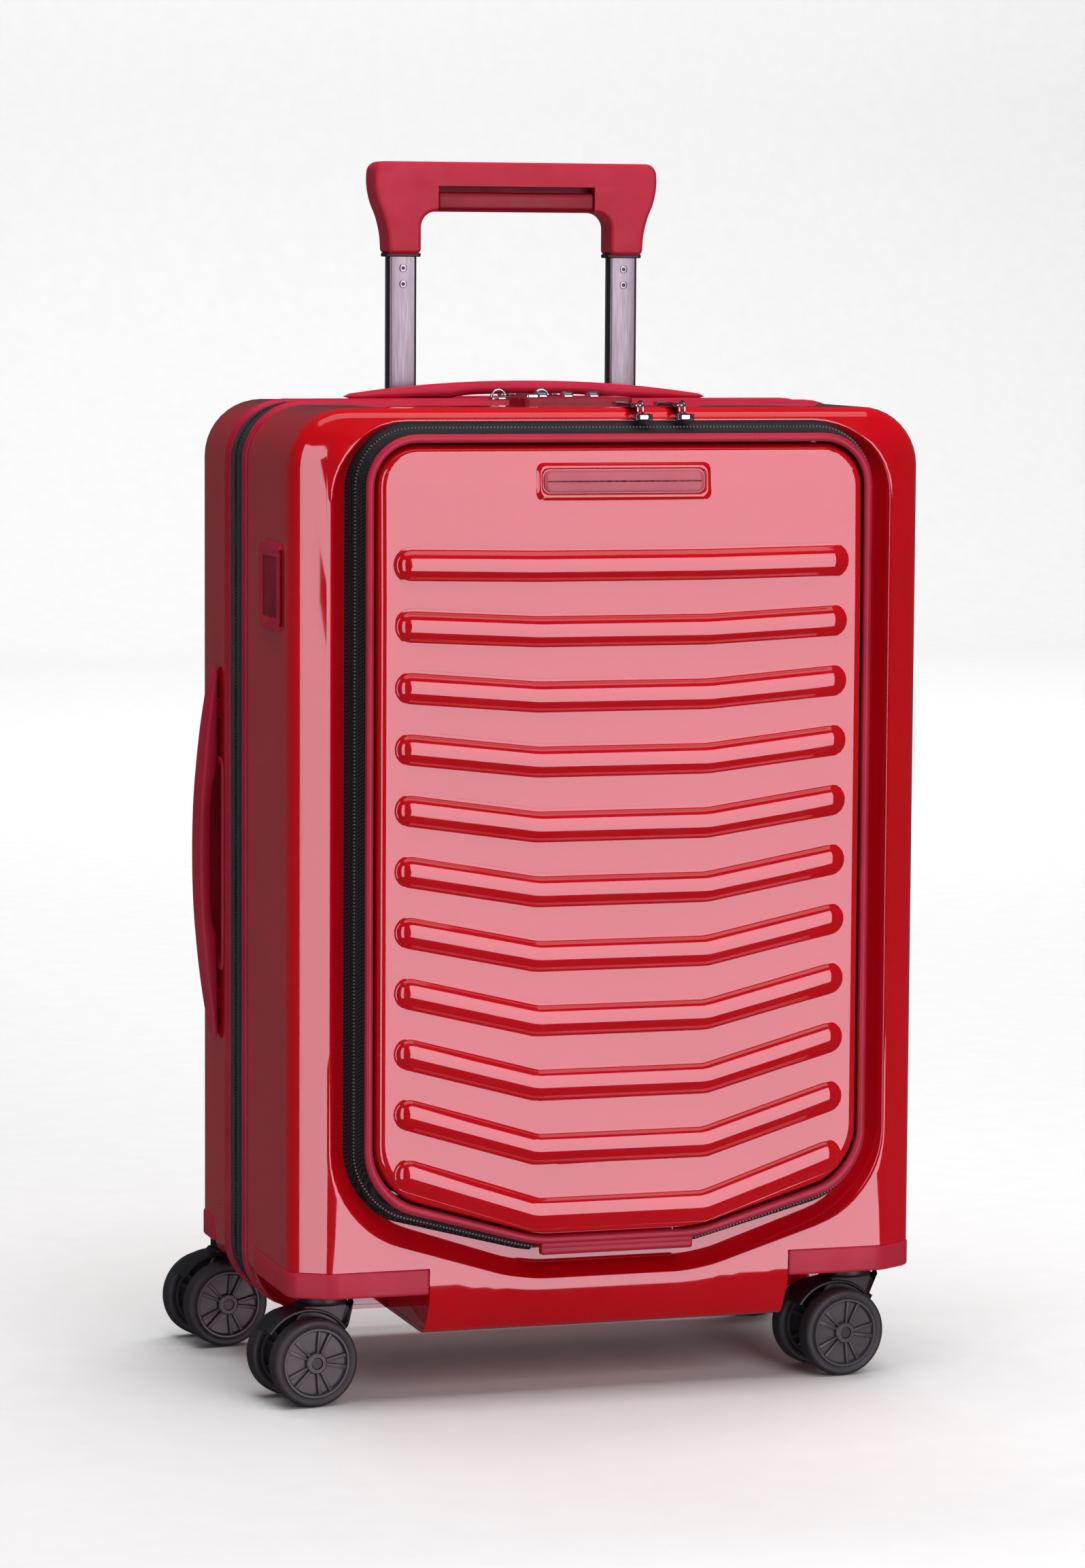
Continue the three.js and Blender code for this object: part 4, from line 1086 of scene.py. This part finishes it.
def main_sliders():
    for index in (1, 2):
        low, high = span(f"main_slider_{index}")
        x, base = (low[0] + high[0]) / 2, low[2]
        body = [(-6, 0), (-5.6, -3.2), (-2, -4.8), (2.5, -4.9), (6, -3.4), (6, 3.4), (2.5, 4.9), (-2, 4.8), (-5.6, 3.2)]
        outline = rounded([(x + a, SPLIT + b, 0.9) for a, b in body], 4, 2)
        parts = [prism(outline, base, base + 2.5, "z", 0.8, 3)]
        parts.append(torus_part((x - 0.5, SPLIT, base + 2.4), 4.1, 0.85, (1, 0, 0), (0, 0, 1), 24, 10, 0.5))
        made = mesh_object(f"main_slider_{index}_casting", *merged(*parts), CHROME, math.radians(40))
        place(made, f"main_slider_{index}", "chrome_fittings", f"main_slider_{index}")
        low, high = span(f"main_pull_{index}")
        middle = (low[2] + high[2]) / 2
        ring = torus_part((low[0] + 3.6, SPLIT, middle), 2.7, 0.75, (1, 0, 0), (0, 1, 0), 28, 10)
        tongue = rounded([(low[0] + 6.4, SPLIT - 1.7, 0.6), (high[0] - 2, SPLIT - 3.1, 2), (high[0], SPLIT - 1.6, 1.4),
                          (high[0], SPLIT + 1.6, 1.4), (high[0] - 2, SPLIT + 3.1, 2), (low[0] + 6.4, SPLIT + 1.7, 0.6)],
                         5, 2)
        made = mesh_object(f"main_pull_{index}_tongue",
                           *merged(ring, prism(tongue, low[2], high[2], "z", 0.5, 3)), CHROME, math.radians(40))
        place(made, f"main_pull_{index}", "chrome_fittings", f"main_pull_{index}")


def pocket_sliders():
    for index in (1, 2):
        low, high = span(f"pocket_slider_{index}")
        x, y0, y1 = (low[0] + high[0]) / 2, low[1], high[1]
        outline = rounded([(x - 5.5, y0 + 1.5, 1.5), (x - 3, y0, 1.5), (x + 3, y0, 1.5), (x + 5.5, y0 + 1.5, 1.5),
                           (x + 4.8, y1, 1.6), (x - 4.8, y1, 1.6)], 4, 2)
        parts = [prism(outline, low[2], low[2] + 3.4, "z", 0.9, 3)]
        parts.append(torus_part((x, y1 - 4.3, low[2] + 5.6), 4.5, 0.7, (0, 1, 0), (0, 0, 1), 28, 10))
        made = mesh_object(f"pocket_slider_{index}_casting", *merged(*parts), CHROME, math.radians(40))
        place(made, f"pocket_slider_{index}", "chrome_fittings", f"pocket_slider_{index}")
        low, high = span(f"pocket_pull_{index}")
        middle = (low[2] + high[2]) / 2
        ring = torus_part((x, low[1] + 3.9, middle), 3.0, 0.7, (1, 0, 0), (0, 1, 0), 28, 10)
        tip_start = high[1] - 7
        tip = prism(rectangle(x - 4.4, tip_start, x + 4.4, high[1], 2.4), low[2] - 0.15, high[2] + 0.25, "z", 0.6, 3)
        made = mesh_object(f"pocket_pull_{index}_metal", *merged(ring, tip), CHROME, math.radians(40))
        place(made, f"pocket_pull_{index}", "chrome_fittings")
        strap = prism(rectangle(x - 3.9, low[1] + 6.1, x + 3.9, tip_start + 1, 2.2, 6, 6), low[2], high[2], "z", 0.7, 4)
        loop = torus_part((x - 3.4, low[1] + 6.9, middle), 1.15, 0.55, (0, 1, 0), (0, 0, 1), 18, 8)
        made = mesh_object(f"pocket_pull_{index}_strap", *merged(strap, loop), LEATHER, math.radians(50))
        place(made, f"pocket_pull_{index}", "leather_pull", f"pocket_pull_{index}")


def name_tag():
    low, high = span("name_tag_holder")
    out = -low[0]

    def ring(inset, x, radius=7.0):
        outline = rectangle(low[1] + inset, low[2] + inset, high[1] - inset, high[2] - inset, max(radius - inset, 1.2),
                            8, 6)
        return [(-x, p[0], p[1]) for p in outline]

    steps = [(0, HALF - 0.8), (0, out - 1.0), (0.3, out - 0.35), (1.0, out), (4.6, out), (6.0, out - 0.1),
             (7.0, out - 0.35), (7.6, out - 0.55), (7.6, out - 0.65), (1.5, out - 0.65), (1.5, HALF - 0.8)]
    made = mesh_object("name_tag_frame", *loft([ring(i, x) for i, x in steps], closed=True), SATIN, math.radians(40))
    carve(made, (-HALF - 1.4, -HALF - 0.1), (low[1] - 2, low[1] + 9), (low[2] + 3.6, high[2] - 3.6))
    place(made, "front_case", "matte_trim", "name_tag_holder")
    low, high = span("name_tag_card")
    outline = rectangle(low[1], low[2], high[1], high[2], 2.5, 6, 4)
    made = mesh_object("name_tag_insert", *prism(outline, low[0], high[0], "x", 0.2, 2), LOCK_RED, math.radians(50))
    place(made, "name_tag_card", "matte_trim", "name_tag_card")


handles()
tubs()
tubes()
screws()
grip()
brackets()
wheel_arches()
casters()
lock()
main_sliders()
pocket_sliders()
name_tag()
for plain, skin in (("pocket_tray", LINING), ("divider_panel", LINING), ("handle_foot", BLACK)):
    for kept in bpy.data.objects:
        if kept.type == "MESH" and kept.name.startswith(plain) and not kept.get("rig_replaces"):
            for index in range(len(kept.material_slots)):
                kept.material_slots[index].link = "OBJECT"
                kept.material_slots[index].material = skin


# ---- studio and camera --------------------------------------------------------------------------
def softbox(name, spot, target, size, watts, glossy=True, diffuse=True):
    light = bpy.data.lights.new(name, "AREA")
    light.shape = "RECTANGLE"
    light.size, light.size_y = size[0] * MM, size[1] * MM
    light.energy = watts
    made = bpy.data.objects.new(name, light)
    bpy.context.scene.collection.objects.link(made)
    made.location = world(*spot)
    aim = world(*target) - made.location
    made.rotation_euler = aim.to_track_quat("-Z", "Y").to_euler()
    made.visible_camera = False
    made.visible_glossy = glossy
    made.visible_diffuse = diffuse
    return made


def studio():
    paper = plain_plastic("paper", (0.78, 0.78, 0.78), (0.8, 0.8, 0.8), 0.9, 300, 0.02)
    points, faces = [], []
    profile = [(-9000, 0), (5200, 0)]
    for k in range(1, 13):
        angle = math.pi / 2 * k / 12
        profile.append((5200 + 900 * math.sin(angle), 900 * (1 - math.cos(angle))))
    profile.append((6100, 6000))
    for x in (-9000, 9000):
        points += [(x, y, z) for y, z in profile]
    count = len(profile)
    faces = [(i, i + 1, count + i + 1, count + i) for i in range(count - 1)]
    made = mesh_object("paper_sweep", points, faces, paper)
    made.location.z -= 0.0001
    made.visible_glossy = False
    made.visible_shadow = False
    lights = [
        softbox("front_right_card", (420, -1350, 450), (0, 0, 450), (900, 2300), 26, diffuse=False),
        softbox("front_left_card", (-1500, -1430, 300), (0, 60, 300), (700, 2600), 20, diffuse=False),
        softbox("top_card", (0, -300, 2200), (0, 80, 300), (1800, 900), 5, diffuse=False),
        softbox("top_box", (0, -300, 2400), (0, 80, 300), (2200, 1700), 52, glossy=False),
        softbox("front_fill", (600, -2600, 1500), (0, 0, 250), (1600, 1600), 34, glossy=False),
        softbox("back_wash", (1500, 2600, 4600), (1800, 5600, 600), (7000, 1800), 330, glossy=False),
    ]
    lights[0].data.color = (1, 0.8, 0.92)
    lights[1].data.color = (1, 0.8, 0.92)
    world_light = bpy.data.worlds.new("studio_air")
    world_light.use_nodes = True
    background = world_light.node_tree.nodes["Background"]
    background.inputs["Color"].default_value = (0.9, 0.9, 1, 1)
    background.inputs["Strength"].default_value = 0.06
    bpy.context.scene.world = world_light


def camera():
    lens = bpy.data.cameras.new("studio_camera")
    lens.sensor_fit = "VERTICAL"
    lens.sensor_height = 36
    lens.lens = 118.97
    lens.clip_end = 50
    made = bpy.data.objects.new("studio_camera", lens)
    bpy.context.scene.collection.objects.link(made)
    yaw, pitch, roll = math.radians(17.2215), math.radians(5.6903), math.radians(0.34665)
    forward = Vector((math.sin(yaw) * math.cos(pitch), math.cos(yaw) * math.cos(pitch), -math.sin(pitch)))
    right = Vector((math.cos(yaw), -math.sin(yaw), 0))
    up = right.cross(forward)
    right, up = right * math.cos(roll) + up * math.sin(roll), up * math.cos(roll) - right * math.sin(roll)
    turn = Matrix((right, up, -forward)).transposed().to_4x4()
    made.matrix_world = Matrix.Translation(world(-861.3, -2629.5, 613.7)) @ turn
    bpy.context.scene.camera = made


studio()
camera()
bpy.context.scene.view_settings.view_transform = "Standard"
